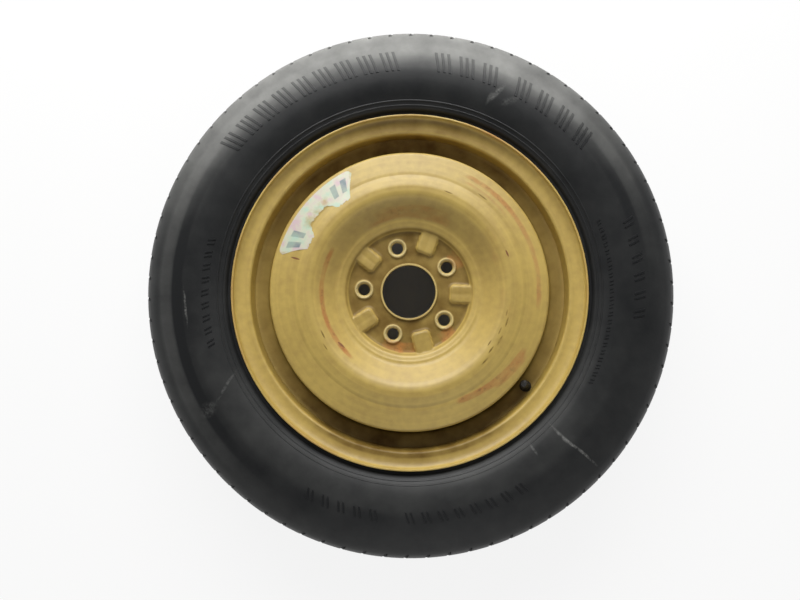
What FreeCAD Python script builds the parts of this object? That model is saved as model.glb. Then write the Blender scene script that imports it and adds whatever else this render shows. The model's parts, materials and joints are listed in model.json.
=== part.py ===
import FreeCAD, Part
import math
import os

# Temporary spare wheel: a pressed disc welded into a rolled rim, with a narrow tubeless tyre and a snap-in valve.
# Lengths are millimetres and angles degrees. Z is the wheel's axis with the outboard face up, and the origin is
# the wheel's centre, midway between the rim's two flanges.

# Rim
bead_seat_radius = 202.8
rim_width = 101.6
rim_thickness = 2.4
flange_height = 17.3
flange_reach = 10.5
flange_curl = 9.0
bead_seat_length = 20.3
bead_seat_taper = 5.0
bead_heel_curve = 6.5
hump_height = 1.2
hump_run = 3.5
well_depth = 21.0
well_curve = 3.0
well_inner_slope = 38.0

# Disc
hub_offset = 32.0
disc_thickness = 3.5
bore_radius = 33.55
bore_lip_height = 3.0
bore_lip_width = 2.4
hub_face_radius = 75.5
ledge_radius = 81.5
ledge_rise = 8.0
bowl_radius = 93.0
bowl_rise = 11.0
crown_share = 0.345
crown_rise = 34.5
crown_curve = 22.0
band_share = 0.633
band_rise = 28.8
disc_edge_inset = 6.55
disc_edge_rise = 22.9
fold_curve = 5.0
sweep_curve = 12.0
skirt_foot_length = 18.0
skirt_end = -6.0
disc_fit = 0.05

# Stud holes and the pads pressed between them
stud_circle = 114.3
stud_count = 5
stud_phase = 33.1
stud_hole_radius = 7.3
nut_seat_radius = 9.6
nut_seat_angle = 60.0
boss_radius = 11.0
boss_base_radius = 13.2
boss_height = 2.6
pad_inner_radius = 49.0
pad_width = 28.0
pad_height = 4.5
pad_draft = 2.5
pad_corner = 7.0

# Weld beads behind the skirt
weld_leg = 4.0
weld_count = 4
weld_sweep = 50.0

# Label on the disc's outer band
label_over_crown = 11.0
label_edge_margin = 6.0
label_start = 116.0
label_sweep = 48.0
label_thickness = 0.25
label_gap = 0.05

# Tyre
tyre_radius = 333.7
section_width = 145.0
widest_share = 0.369
tread_width = 90.0
crown_drop = 4.5
shoulder_width = 125.0
shoulder_drop = 19.2
sidewall_thickness = 5.5
tread_thickness = 11.5
liner_shoulder_drop = 8.0
liner_shoulder_inset = 6.0
bead_width = 18.0
bead_clearance = 0.2
bead_shelf = 7.0
bead_leave_angle = 45.0
bead_height = 13.0
bead_thickness = 10.0
groove_count = 3
groove_pitch = 27.0
groove_width = 6.0
groove_depth = 5.0

# Valve, along its own axis from the rim's outboard face
valve_angle = 321.0
valve_tilt = 18.0
valve_height_in_well = 9.2
valve_hole_radius = 5.75
valve_fit = 0.05
valve_base_radius = 7.8
valve_base_height = 3.4
valve_collar_radius = 7.2
valve_collar_height = 2.0
valve_neck_radius = 5.4
valve_neck_height = 4.6
valve_tip_radius = 4.6
valve_rubber_height = 14.0
stem_radius = 2.8
stem_thread_radius = 3.85
stem_height = 24.0
stem_air_radius = 1.75
core_seat_height = 16.0
core_radius = 2.5
core_height = 5.5
core_pocket_radius = 1.5
core_floor = 1.5
core_pin_clearance = 0.08
pin_radius = 0.6
pin_head_radius = 1.2
pin_head_height = 0.7
pin_recess = 0.5
seal_radius = 1.3
seal_height = 1.3
spring_wire = 0.3
spring_turns = 5
cap_radius = 4.9
cap_bottom = 15.0
cap_height = 11.5
cap_roof = 1.5
cap_thread_clearance = 0.1
cap_seal_gap = 0.3

# Values worked out from the sizes above
Vector = FreeCAD.Vector
ORIGIN = Vector(0, 0, 0)
AXIS = Vector(0, 0, 1)
half_width = rim_width / 2
lip_radius = bead_seat_radius + flange_height
well_radius = bead_seat_radius - well_depth
hub_front = hub_offset + disc_thickness
skirt_radius = well_radius - rim_thickness - disc_fit
disc_edge_radius = skirt_radius - disc_edge_inset
crown_radius = bowl_radius + crown_share * (disc_edge_radius - bowl_radius)
band_radius = bowl_radius + band_share * (disc_edge_radius - bowl_radius)
widest_radius = lip_radius + widest_share * (tyre_radius - lip_radius)
valve_radius = well_radius + valve_height_in_well


def tangent(angle):
    return math.tan(math.radians(angle))


def point(radius, height):
    """A point of a profile, by its distance from the wheel's axis and its height."""
    return Vector(radius, 0, height)


def bend(points, radii):
    """Edges along points, with each inner corner rounded by its radius, or left sharp where that is 0."""
    edges = []
    start = points[0]
    for i, radius in enumerate(radii):
        corner = points[i + 1]
        if radius == 0:
            edges.append(Part.LineSegment(start, corner).toShape())
            start = corner
            continue
        back = (points[i] - corner).normalize()
        ahead = (points[i + 2] - corner).normalize()
        half_angle = back.getAngle(ahead) / 2
        reach = radius / math.tan(half_angle)
        depth = radius / math.sin(half_angle) - radius
        first = corner + back * reach
        middle = corner + (back + ahead).normalize() * depth
        last = corner + ahead * reach
        edges.append(Part.LineSegment(start, first).toShape())
        edges.append(Part.Arc(first, middle, last).toShape())
        start = last
    edges.append(Part.LineSegment(start, points[-1]).toShape())
    return edges


def beside(points, distance):
    """The same run of straight lines, moved to its right by distance."""
    sides = []
    for start, end in zip(points, points[1:]):
        along = (end - start).normalize()
        sides.append(Vector(along.z, 0, -along.x))
    moved = [points[0] + sides[0] * distance]
    for corner, before, after in zip(points[1:-1], sides, sides[1:]):
        moved.append(corner + (before + after) * (distance / (1 + before.dot(after))))
    moved.append(points[-1] + sides[-1] * distance)
    return moved


def turns(points):
    """For each inner corner, 1 where the path turns left and -1 where it turns right."""
    signs = []
    for before, corner, after in zip(points, points[1:], points[2:]):
        cross = (corner - before).cross(after - corner)
        signs.append(1 if cross.y < 0 else -1)
    return signs


def sheet_section(points, radii, thickness):
    """Section of a bent sheet whose one face follows points, with the sheet to the right of them."""
    other_radii = []
    for radius, turn in zip(radii, turns(points)):
        other_radii.append(radius + turn * thickness if radius else 0)
    other = beside(points, thickness)
    edges = bend(points, radii)
    edges.append(Part.LineSegment(points[-1], other[-1]).toShape())
    edges += bend(other, other_radii)
    edges.append(Part.LineSegment(other[0], points[0]).toShape())
    return Part.Face(Part.Wire(Part.sortEdges(edges)[0]))


def section(points):
    """Flat face with straight sides."""
    return Part.Face(Part.makePolygon(points + points[:1]))


def turned(face, sweep=360.0, start=0.0):
    """Solid swept by a profile about the wheel's axis."""
    solid = face.revolve(ORIGIN, AXIS, sweep)
    solid.rotate(ORIGIN, AXIS, start)
    return solid


def leaving(start, heading, end):
    """Arc that leaves start along heading and ends at end, with its heading there."""
    chord = end - start
    across = (chord - heading * chord.dot(heading)).normalize()
    radius = chord.dot(chord) / (2 * chord.dot(across))
    centre = start + across * radius
    middle = centre + (start + end - centre * 2).normalize() * radius
    along = Vector(chord).normalize()
    end_heading = along * (2 * along.dot(heading)) - heading
    return Part.Arc(start, middle, end).toShape(), end_heading


def flange_path():
    """Tyre side of the outboard flange and bead seat, from the lip to the hump."""
    seat_end = half_width - bead_seat_length
    seat_end_radius = bead_seat_radius - bead_seat_length * tangent(bead_seat_taper)
    return [
        point(lip_radius, half_width + flange_reach),
        point(lip_radius, half_width),
        point(bead_seat_radius, half_width),
        point(seat_end_radius, seat_end),
        point(seat_end_radius + hump_height, seat_end - hump_run),
    ]


def well_wall():
    """Foot of the wall that carries the valve, on the tyre side."""
    hump = flange_path()[-1]
    return point(well_radius, hump.z - (hump.x - well_radius) * tangent(valve_tilt))


def valve_frame():
    """Placement of the valve's axis, square to the wall of the well, with its zero on the outboard face."""
    foot = well_wall()
    outward = Vector(-math.sin(math.radians(valve_tilt)), 0, math.cos(math.radians(valve_tilt)))
    on_wall = point(valve_radius, foot.z + (valve_radius - well_radius) * tangent(valve_tilt))
    seat = on_wall + outward * rim_thickness
    upright = FreeCAD.Placement(seat, FreeCAD.Rotation(AXIS, outward))
    around = FreeCAD.Placement(ORIGIN, FreeCAD.Rotation(AXIS, valve_angle))
    return around.multiply(upright)


def on_valve(shape):
    """Moves a shape made along Z to the valve's place."""
    placed = shape.copy()
    placed.Placement = valve_frame().multiply(placed.Placement)
    return placed


def make_rim():
    """Rolled barrel with curled flanges, tapered bead seats, humps and a dropped well."""
    outboard = flange_path()
    inboard = [point(p.x, -p.z) for p in reversed(outboard)]
    hump = inboard[0]
    well_end = point(well_radius, hump.z + (hump.x - well_radius) * tangent(well_inner_slope))
    path = outboard + [well_wall(), well_end] + inboard
    outboard_radii = [flange_curl, bead_heel_curve, 0, 0, well_curve]
    radii = outboard_radii + outboard_radii[::-1]
    rim = turned(sheet_section(path, radii, rim_thickness))
    hole_length = 6 * rim_thickness
    hole = Part.makeCylinder(valve_hole_radius, hole_length, point(0, -hole_length / 2))
    return rim.cut(on_valve(hole))


def disc_path():
    """Front of the disc, from the bore to the rear edge of the skirt."""
    return [
        point(bore_radius, hub_front),
        point(hub_face_radius, hub_front),
        point(ledge_radius, hub_front + ledge_rise),
        point(bowl_radius, hub_front + bowl_rise),
        point(crown_radius, hub_front + crown_rise),
        point(band_radius, hub_front + band_rise),
        point(disc_edge_radius, hub_front + disc_edge_rise),
        point(skirt_radius, skirt_end + skirt_foot_length),
        point(skirt_radius, skirt_end),
    ]


def around_hub(shape, phase):
    """Copies of a shape that lies on +X, one for each stud."""
    copies = []
    for i in range(stud_count):
        copy = shape.copy()
        copy.rotate(ORIGIN, AXIS, phase + i * 360.0 / stud_count)
        copies.append(copy)
    return copies


def draft_block(inner, outer, width, bottom, top, draft, corner):
    """Block along +X with a rounded inner end, whose end and sides lean in by draft from bottom to top."""
    wires = []
    for height, inset in ((bottom, 0.0), (top, draft)):
        side = width / 2 - inset
        path = [
            Vector(outer, -side, height),
            Vector(inner + inset, -side, height),
            Vector(inner + inset, side, height),
            Vector(outer, side, height),
        ]
        edges = bend(path, [corner, corner])
        edges.append(Part.LineSegment(path[-1], path[0]).toShape())
        wires.append(Part.Wire(edges))
    return Part.makeLoft(wires, True, True)


def make_disc():
    """Pressed disc: hub face with coned nut seats and hollow pads, deep bowl, round crown, band and skirt."""
    radii = [fold_curve, fold_curve, sweep_curve, crown_curve, sweep_curve, fold_curve, sweep_curve]
    disc = turned(sheet_section(disc_path(), radii, disc_thickness))
    lip = Part.makeCylinder(bore_radius + bore_lip_width, bore_lip_height, point(0, hub_front))
    bore = Part.makeCylinder(bore_radius, bore_lip_height, point(0, hub_front))
    disc = disc.fuse(lip.cut(bore))

    pad_phase = stud_phase + 180.0 / stud_count
    pad_top = hub_front + pad_height
    pad_end = hub_face_radius + disc_thickness
    pad = draft_block(pad_inner_radius, pad_end, pad_width, hub_front, pad_top, pad_draft, pad_corner)
    hollow = draft_block(
        pad_inner_radius + disc_thickness,
        pad_end + disc_thickness,
        pad_width - 2 * disc_thickness,
        hub_offset,
        pad_top - disc_thickness,
        pad_draft / 2,
        pad_corner - disc_thickness,
    )
    stud_radius = stud_circle / 2
    boss = Part.makeCone(boss_base_radius, boss_radius, boss_height, point(stud_radius, hub_front))
    seat_depth = (nut_seat_radius - stud_hole_radius) / tangent(nut_seat_angle / 2)
    seat_place = point(stud_radius, hub_front + boss_height - seat_depth)
    seat = Part.makeCone(stud_hole_radius, nut_seat_radius, seat_depth, seat_place)
    hole = Part.makeCylinder(stud_hole_radius, disc_thickness + boss_height, point(stud_radius, hub_offset))

    disc = disc.multiFuse(around_hub(pad, pad_phase) + around_hub(boss, stud_phase))
    cuts = around_hub(hollow, pad_phase) + around_hub(seat, stud_phase) + around_hub(hole, stud_phase)
    return disc.cut(cuts).removeSplitter()


def make_disc_welds():
    """Fillet beads between the rear edge of the skirt and the rim's well."""
    top = skirt_end - disc_fit
    bead = section(
        [
            point(skirt_radius, top),
            point(skirt_radius, top - weld_leg),
            point(skirt_radius - weld_leg, top),
        ]
    )
    beads = []
    for i in range(weld_count):
        beads.append(turned(bead, weld_sweep, i * 360.0 / weld_count))
    return Part.makeCompound(beads)


def along_line(start, end, radius):
    """Point at a radius on the line from start to end."""
    return start + (end - start) * ((radius - start.x) / (end.x - start.x))


def make_label():
    """Thin film laid over the outer band and the foot of the crown."""
    crown, band, edge = disc_path()[4:7]
    front = [
        along_line(crown, band, band_radius - label_over_crown),
        band,
        along_line(band, edge, disc_edge_radius - label_edge_margin),
    ]
    height = label_gap + label_thickness
    film = sheet_section(beside(front, -height), [sweep_curve - height], label_thickness)
    return turned(film, label_sweep, label_start)


def tyre_outline():
    """Half of the tyre's section above the mid-plane, from the tread's centre round to the liner's centre."""
    up = Vector(0, 0, 1)
    outward = Vector(1, 0, 0)
    tread_edge = point(tyre_radius - crown_drop, tread_width / 2)
    shoulder = point(tyre_radius - shoulder_drop, shoulder_width / 2)
    widest = point(widest_radius, section_width / 2)
    liner_radius = tyre_radius - tread_thickness
    liner_shoulder = point(liner_radius - liner_shoulder_drop, tread_width / 2 - liner_shoulder_inset)
    liner_widest = point(widest_radius, section_width / 2 - sidewall_thickness)

    curl_centre = point(lip_radius - flange_curl, half_width + flange_curl)
    curl = []
    for angle in (bead_leave_angle, (bead_leave_angle + 90.0) / 2, 90.0):
        away = point(math.cos(math.radians(angle)), -math.sin(math.radians(angle)))
        curl.append(curl_centre + away * (flange_curl + bead_clearance))
    seat = [
        point(lip_radius - flange_curl, half_width),
        point(bead_seat_radius, half_width),
        point(bead_seat_radius - bead_width * tangent(bead_seat_taper), half_width - bead_width),
    ]
    bead = beside(seat, -bead_clearance)
    shelf = point(lip_radius + bead_clearance + bead_shelf, half_width + flange_curl)
    bead_top = point(bead_seat_radius + bead_height, half_width - bead_thickness)

    crown, heading = leaving(point(tyre_radius, 0), up, tread_edge)
    edges = [crown]
    edges.append(leaving(tread_edge, heading, shoulder)[0])
    edges.append(leaving(widest, outward, shoulder)[0])
    edges.append(leaving(widest, outward * -1, shelf)[0])
    edges.append(Part.LineSegment(shelf, curl[0]).toShape())
    edges.append(Part.Arc(*curl).toShape())
    edges += bend(bead, [bead_heel_curve - bead_clearance])
    edges.append(Part.LineSegment(bead[-1], bead_top).toShape())
    edges.append(leaving(liner_widest, outward * -1, bead_top)[0])
    edges.append(leaving(liner_widest, outward, liner_shoulder)[0])
    edges.append(leaving(point(liner_radius, 0), up, liner_shoulder)[0])
    return edges


def make_tyre():
    """Hollow moulded tyre with grooved tread and two beads."""
    upper = tyre_outline()
    lower = [edge.mirror(ORIGIN, AXIS) for edge in upper]
    tyre = turned(Part.Face(Part.Wire(Part.sortEdges(upper + lower)[0])))
    grooves = []
    for i in range(groove_count):
        height = (i - (groove_count - 1) / 2) * groove_pitch
        drop = crown_drop * (2 * height / tread_width) ** 2
        bottom = tyre_radius - drop - groove_depth
        side = groove_width / 2
        groove = section(
            [
                point(bottom, height - side),
                point(tyre_radius + groove_depth, height - side),
                point(tyre_radius + groove_depth, height + side),
                point(bottom, height + side),
            ]
        )
        grooves.append(turned(groove))
    return tyre.cut(grooves)


def valve_turning(points):
    """Turned piece on the valve's axis, from its radii and heights."""
    return on_valve(turned(section([point(radius, height) for radius, height in points])))


def make_valve_body():
    """Rubber snap-in body that grips the wall of the well from both sides."""
    bore = stem_radius + valve_fit
    inside = -rim_thickness - valve_fit
    base = inside - valve_base_height
    neck = valve_hole_radius - valve_fit
    return valve_turning(
        [
            (bore, base),
            (valve_neck_radius, base),
            (valve_base_radius, inside - valve_base_height / 2),
            (valve_base_radius, inside),
            (neck, inside),
            (neck, valve_fit),
            (valve_collar_radius, valve_fit),
            (valve_collar_radius, valve_collar_height),
            (valve_neck_radius, valve_neck_height),
            (valve_tip_radius, valve_rubber_height),
            (bore, valve_rubber_height),
        ]
    )


def make_valve_stem():
    """Brass tube with a thicker threaded end and a seat for the core."""
    bottom = -rim_thickness - valve_fit - valve_base_height
    shoulder = valve_rubber_height + valve_fit
    pocket = core_radius + valve_fit
    return valve_turning(
        [
            (stem_air_radius, bottom),
            (stem_radius, bottom),
            (stem_radius, shoulder),
            (stem_thread_radius, shoulder),
            (stem_thread_radius, stem_height),
            (pocket, stem_height),
            (pocket, core_seat_height),
            (stem_air_radius, core_seat_height),
        ]
    )


def make_core_plug():
    """Screwed-in body of the valve core, with a pocket for its spring."""
    bottom = core_seat_height + valve_fit
    guide = pin_radius + core_pin_clearance
    return valve_turning(
        [
            (guide, bottom),
            (core_radius, bottom),
            (core_radius, bottom + core_height),
            (core_pocket_radius, bottom + core_height),
            (core_pocket_radius, bottom + core_floor),
            (guide, bottom + core_floor),
        ]
    )


def make_core_pin():
    """Headed pin that opens the valve when it is pressed in."""
    top = stem_height - pin_recess
    bottom = core_seat_height - seal_height - pin_radius
    return valve_turning(
        [
            (0, bottom),
            (pin_radius, bottom),
            (pin_radius, top - pin_head_height),
            (pin_head_radius, top - pin_head_height),
            (pin_head_radius, top),
            (0, top),
        ]
    )


def make_core_seal():
    """Rubber washer on the pin that closes the underside of the core."""
    bore = pin_radius + valve_fit
    return valve_turning(
        [
            (bore, core_seat_height - seal_height),
            (seal_radius, core_seat_height - seal_height),
            (seal_radius, core_seat_height),
            (bore, core_seat_height),
        ]
    )


def make_core_spring():
    """Square-wire coil between the floor of the core's pocket and the head of the pin."""
    bottom = core_seat_height + valve_fit + core_floor + spring_wire
    top = stem_height - pin_recess - pin_head_height - spring_wire
    mean_radius = (pin_radius + core_pocket_radius) / 2
    helix = Part.makeHelix((top - bottom) / spring_turns, top - bottom, mean_radius)
    half = spring_wire / 2
    corners = [
        Vector(mean_radius - half, 0, -half),
        Vector(mean_radius + half, 0, -half),
        Vector(mean_radius + half, 0, half),
        Vector(mean_radius - half, 0, half),
    ]
    wire = Part.makePolygon(corners + corners[:1])
    coil = Part.Wire(helix.Edges).makePipeShell([wire], True, True)
    coil.translate(Vector(0, 0, bottom))
    return on_valve(coil)


def make_valve_cap():
    """Dust cap over the threaded end of the stem."""
    bore = stem_thread_radius + cap_thread_clearance
    roof = cap_bottom + cap_height
    return valve_turning(
        [
            (bore, cap_bottom),
            (cap_radius, cap_bottom),
            (cap_radius, roof - cap_roof),
            (cap_radius - cap_roof / 2, roof),
            (0, roof),
            (0, roof - cap_roof),
            (bore, roof - cap_roof),
        ]
    )


def make_cap_seal():
    """Rubber disc in the roof of the cap."""
    top = cap_bottom + cap_height - cap_roof - valve_fit
    bottom = stem_height + cap_seal_gap
    return valve_turning(
        [
            (0, bottom),
            (stem_thread_radius, bottom),
            (stem_thread_radius, top),
            (0, top),
        ]
    )


os.makedirs("parts", exist_ok=True)
pieces = {
    "tyre": make_tyre,
    "rim": make_rim,
    "disc": make_disc,
    "disc_welds": make_disc_welds,
    "label": make_label,
    "valve_body": make_valve_body,
    "valve_stem": make_valve_stem,
    "core_plug": make_core_plug,
    "core_pin": make_core_pin,
    "core_seal": make_core_seal,
    "core_spring": make_core_spring,
    "valve_cap": make_valve_cap,
    "cap_seal": make_cap_seal,
}
for name, make in pieces.items():
    shape = make()
    shape.exportStep("parts/" + name + ".step")
    print(name, "valid" if shape.isValid() else "BROKEN", len(shape.Solids), round(shape.Volume, 3))
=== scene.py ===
import json
import math

import bmesh
import bpy
import numpy as np
from bpy.props import FloatProperty, FloatVectorProperty, IntProperty, PointerProperty
from mathutils import Matrix, Vector


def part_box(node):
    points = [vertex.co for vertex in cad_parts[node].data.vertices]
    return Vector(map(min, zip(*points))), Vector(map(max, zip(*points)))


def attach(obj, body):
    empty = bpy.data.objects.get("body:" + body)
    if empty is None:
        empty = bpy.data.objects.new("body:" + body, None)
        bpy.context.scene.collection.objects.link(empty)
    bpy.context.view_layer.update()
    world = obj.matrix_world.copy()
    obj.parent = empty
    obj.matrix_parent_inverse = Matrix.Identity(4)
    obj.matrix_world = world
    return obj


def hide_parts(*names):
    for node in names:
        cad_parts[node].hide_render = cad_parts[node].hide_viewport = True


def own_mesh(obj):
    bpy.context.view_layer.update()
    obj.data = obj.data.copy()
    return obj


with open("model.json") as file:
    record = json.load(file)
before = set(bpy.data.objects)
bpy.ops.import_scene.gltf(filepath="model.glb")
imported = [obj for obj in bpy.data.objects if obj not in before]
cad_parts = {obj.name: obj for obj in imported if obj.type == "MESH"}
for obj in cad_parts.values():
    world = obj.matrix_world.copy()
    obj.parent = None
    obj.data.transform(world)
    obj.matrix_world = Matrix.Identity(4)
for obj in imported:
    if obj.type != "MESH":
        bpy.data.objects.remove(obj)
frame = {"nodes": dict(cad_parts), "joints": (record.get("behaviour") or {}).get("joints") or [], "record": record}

bl_info = {
    "name": "Spare wheel",
    "version": (1, 0, 0),
    "blender": (4, 5, 0),
    "location": "3D View > Sidebar > Spare wheel",
    "description": "Dresses a temporary spare wheel: moulded tyre, painted rim and disc, label and valve",
    "category": "Object",
}

# Lengths are metres and angles are degrees unless a docstring says otherwise.
# Sections are lists of (radius, height).
MM = 0.001

# Meshes
SHARP_ANGLE = 32.0
DOUBLE_DISTANCE = 0.002 * MM
WELD_DISTANCE = 0.005 * MM


def mount(name):
    """A mount of the record, by name."""
    return next(m for m in frame["record"]["mounts"] if m["name"] == name)


def joint(name):
    """A joint of the frame, by name."""
    return next(j for j in frame["joints"] if j["name"] == name)


# Sizes read from the solids
TYRE_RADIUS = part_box("tyre")[1].x
TYRE_HALF_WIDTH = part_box("tyre")[1].z
LIP_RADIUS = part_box("rim")[1].x
LIP_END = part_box("rim")[1].z
SKIRT_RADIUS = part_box("disc")[1].x
SKIRT_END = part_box("disc")[0].z
HUB_OFFSET = mount("hub_face")["pos_m"][2]
BORE_RADIUS = mount("centre_bore")["dims"]["r_mm"] * MM
STUD_COUNT = mount("stud_holes")["dims"]["count"]
STUD_RADIUS = mount("stud_holes")["dims"]["pcd_mm"] / 2 * MM
STUD_HOLE_RADIUS = mount("stud_holes")["dims"]["hole_r_mm"] * MM
VALVE_AXIS = Vector(joint("cap_off")["axis"])

# Tyre section
TREAD_EDGE = 45.0 * MM
CROWN_DROP = 4.5 * MM
SHOULDER = np.array([TYRE_RADIUS - 19.2 * MM, 62.5 * MM])
WIDEST_RADIUS = 262.0 * MM
GROOVE_PITCH = 27.0 * MM
GROOVE_HALF = 3.0 * MM
GROOVE_DEPTH = 5.0 * MM
NOTCH_LENGTH = 7.0 * MM
NOTCH_DEPTH = 3.5 * MM
SLOT_START = 40.0 * MM
SLOT_SLANT = 0.9
BEAD_SHELF = 7.0 * MM
BEAD_GAP = 0.2 * MM
SIDEWALL_THICKNESS = 5.5 * MM
TREAD_THICKNESS = 11.5 * MM

# Rim section
FLANGE_FACE = 50.8 * MM
BEAD_SEAT = 202.8 * MM
FLANGE_CURL = 9.0 * MM
BEAD_HEEL = 6.5 * MM
SEAT_END = np.array([201.02, 30.5]) * MM
HUMP = np.array([202.22, 27.0]) * MM
WELL_RADIUS = 181.8 * MM
WELL_OUTBOARD = 20.36 * MM
WELL_INBOARD = -11.04 * MM
RIM_THICKNESS = 2.4 * MM

# Disc section
DISC_THICKNESS = 3.5 * MM
HUB_FRONT = HUB_OFFSET + DISC_THICKNESS
HUB_FACE_RADIUS = 75.5 * MM
CROWN_CORNER = np.array([120.53 * MM, HUB_FRONT + 34.5 * MM])
BAND_START = np.array([143.51 * MM, HUB_FRONT + 28.8 * MM])
DISC_EDGE = np.array([172.8 * MM, HUB_FRONT + 22.9 * MM])
BORE_LIP_HEIGHT = 3.0 * MM
BORE_LIP_WIDTH = 2.4 * MM
STUD_PHASE = 33.1
NUT_SEAT_RADIUS = 9.6 * MM
BOSS_RADIUS = 11.0 * MM
BOSS_BASE = 13.2 * MM
BOSS_HEIGHT = 2.6 * MM
PAD_INNER = 49.0 * MM
PAD_HALF_WIDTH = 14.5 * MM
PAD_HEIGHT = 4.8 * MM
PAD_DRAFT = 5.5 * MM
PAD_CORNER = 8.5 * MM

# Label
LABEL_START = 116.0
LABEL_END = 164.0
LABEL_OUTER = 168.5 * MM
LABEL_INNER = 134.5 * MM
LABEL_HEIGHT = 0.3 * MM

# Valve, along its own axis from the rim's outboard face
VALVE_ANGLE = 321.0
VALVE_SEAT_RADIUS = 190.26 * MM
VALVE_SEAT_HEIGHT = 25.64 * MM
VALVE_HOLE_RADIUS = 5.75 * MM
RUBBER_TOP = 14.0 * MM
STEM_RADIUS = 2.8 * MM
THREAD_RADIUS = 3.85 * MM
THREAD_PITCH = 0.8 * MM
STEM_TOP = 24.0 * MM
CORE_SEAT = 16.0 * MM
CORE_RADIUS = 2.55 * MM
STEM_AIR_RADIUS = 1.75 * MM
SPRING_FLOOR = 17.55 * MM
PIN_HEAD = 22.8 * MM
SPRING_RADIUS = 1.05 * MM
SPRING_WIRE = 0.3 * MM
SPRING_TURNS = 5
CAP_RADIUS = 4.9 * MM
CAP_BOTTOM = 15.0 * MM
CAP_TOP = 26.5 * MM
CAP_ROOF = 1.5 * MM


def linear(colour):
    """Linear red, green and blue of an sRGB hex colour."""
    channels = [int(colour[i:i + 2], 16) / 255 for i in (1, 3, 5)]
    return tuple(c / 12.92 if c <= 0.04045 else ((c + 0.055) / 1.055) ** 2.4 for c in channels)


def colour_property(name, description, colour):
    """Colour given in sRGB hex and kept linear."""
    return FloatVectorProperty(
        name=name, description=description, subtype="COLOR", size=3, min=0.0, max=1.0, default=linear(colour)
    )


def length_property(name, description, length):
    """Length in metres."""
    return FloatProperty(name=name, description=description, default=length, unit="LENGTH")


def share_property(name, description):
    """Share, 1 at first."""
    return FloatProperty(name=name, description=description, default=1.0, min=0.0, subtype="FACTOR")


class SpareWheelSizes(bpy.types.PropertyGroup):
    """Sizes and counts of the wheel's relief, and how worn it is"""

    tread_pitches: IntProperty(
        name="Tread pitches", description="Shoulder slots round the tread", default=78, min=12
    )
    slot_depth: length_property("Slot depth", "Depth of the shoulder slots", 2.5 * MM)
    mark_height: length_property("Mark height", "Height of the raised bars on the sidewall", 0.7 * MM)
    weld_ripple: length_property("Weld ripple", "Length of one ripple of the weld beads", 3.0 * MM)
    cap_ridges: IntProperty(
        name="Cap ridges", description="Grip ridges round the valve cap", default=18, min=3
    )
    rust: share_property("Rust", "Share of the rust stains")
    # The dust share also scales the painted highlight and painted shade carried on the rubber's dust.
    dust: share_property("Dust", "Share of the dust on rubber")


class SpareWheelColours(bpy.types.PropertyGroup):
    """Colours of the wheel's finishes"""

    paint: colour_property("Paint", "Mustard paint of the rim and disc", "#C3A755")
    paint_deep: colour_property("Deep paint", "Darker patches of the paint", "#B0944A")
    paint_worn: colour_property("Worn paint", "Paint rubbed pale by nuts and hub", "#D6C99A")
    rust: colour_property("Rust", "Fresh orange rust", "#B0773B")
    rust_deep: colour_property("Deep rust", "Old brown rust", "#7C4B24")
    # This brown also paints shade on the steel.
    grime: colour_property("Grime", "Brown dirt in the corners of the steel", "#583E14")
    rubber: colour_property("Rubber", "Tyre rubber", "#1D1E1F")
    # The dust colour also paints the highlight on the upper shoulder and the light ring on the sidewall.
    dust: colour_property("Dust", "Dry dust and scuffs on rubber", "#A6A6A2")
    film: colour_property("Film", "Silvery white label film", "#CFCFC5")
    film_print: colour_property("Film print", "Plain blue-grey fields of the label", "#6F8688")
    brass: colour_property("Brass", "Turned brass of the stem and core", "#C9A24E")
    steel: colour_property("Spring steel", "Bright spring wire", "#B9BABB")
    plastic: colour_property("Cap plastic", "Black moulded cap", "#1B1916")
    floor: colour_property("Floor", "Plain pale floor", "#F4F4F2")


def unit(vector):
    """The same direction at length 1."""
    return vector / np.linalg.norm(vector)


def ramp(value, low, high):
    """0 below low, 1 above high, and smooth between them."""
    share = np.clip((np.asarray(value, float) - low) / (high - low), 0.0, 1.0)
    return share * share * (3.0 - 2.0 * share)


def window(value, low, high, soft):
    """1 between low and high, and 0 further than soft outside them."""
    return ramp(value, low - soft, low) * (1.0 - ramp(value, high, high + soft))


def on_wheel(radius, angle, height):
    """Points of the wheel by radius, angle in radians and height."""
    return np.stack(np.broadcast_arrays(radius * np.cos(angle), radius * np.sin(angle), height), axis=-1)


def rounded(points, radii, step=math.radians(10.0)):
    """Points along straight runs, with each inner corner rounded by its radius or left sharp at 0."""
    points = [np.array(p, float) for p in points]
    path = [points[0]]
    for before, corner, after, radius in zip(points, points[1:], points[2:], radii):
        if radius == 0:
            path.append(corner)
            continue
        back = unit(before - corner)
        ahead = unit(after - corner)
        half = math.acos(np.clip(back.dot(ahead), -1.0, 1.0)) / 2
        centre = corner + unit(back + ahead) * radius / math.sin(half)
        first = corner + back * radius / math.tan(half) - centre
        last = corner + ahead * radius / math.tan(half) - centre
        start = math.atan2(first[1], first[0])
        turn = (math.atan2(last[1], last[0]) - start + math.pi) % math.tau - math.pi
        count = max(2, math.ceil(abs(turn) / step))
        for i in range(count + 1):
            angle = start + turn * i / count
            path.append(centre + radius * np.array([math.cos(angle), math.sin(angle)]))
    path.append(points[-1])
    return np.array(path)


def beside(points, distance):
    """The same run of straight lines, moved to its right by distance."""
    points = np.array(points, float)
    along = [unit(b - a) for a, b in zip(points, points[1:])]
    sides = [np.array([d[1], -d[0]]) for d in along]
    moved = [points[0] + sides[0] * distance]
    for corner, before, after in zip(points[1:-1], sides, sides[1:]):
        moved.append(corner + (before + after) * distance / (1.0 + before.dot(after)))
    moved.append(points[-1] + sides[-1] * distance)
    return np.array(moved)


def other_radii(points, radii, thickness):
    """Corner radii of the far side of a bent sheet that lies to the right of points."""
    smallest = 0.3 * MM
    changed = []
    for before, corner, after, radius in zip(points, points[1:], points[2:], radii):
        a, b = corner - before, after - corner
        turn = 1.0 if a[0] * b[1] - a[1] * b[0] > 0 else -1.0
        changed.append(max(radius + turn * thickness, smallest) if radius else 0)
    return changed


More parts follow.
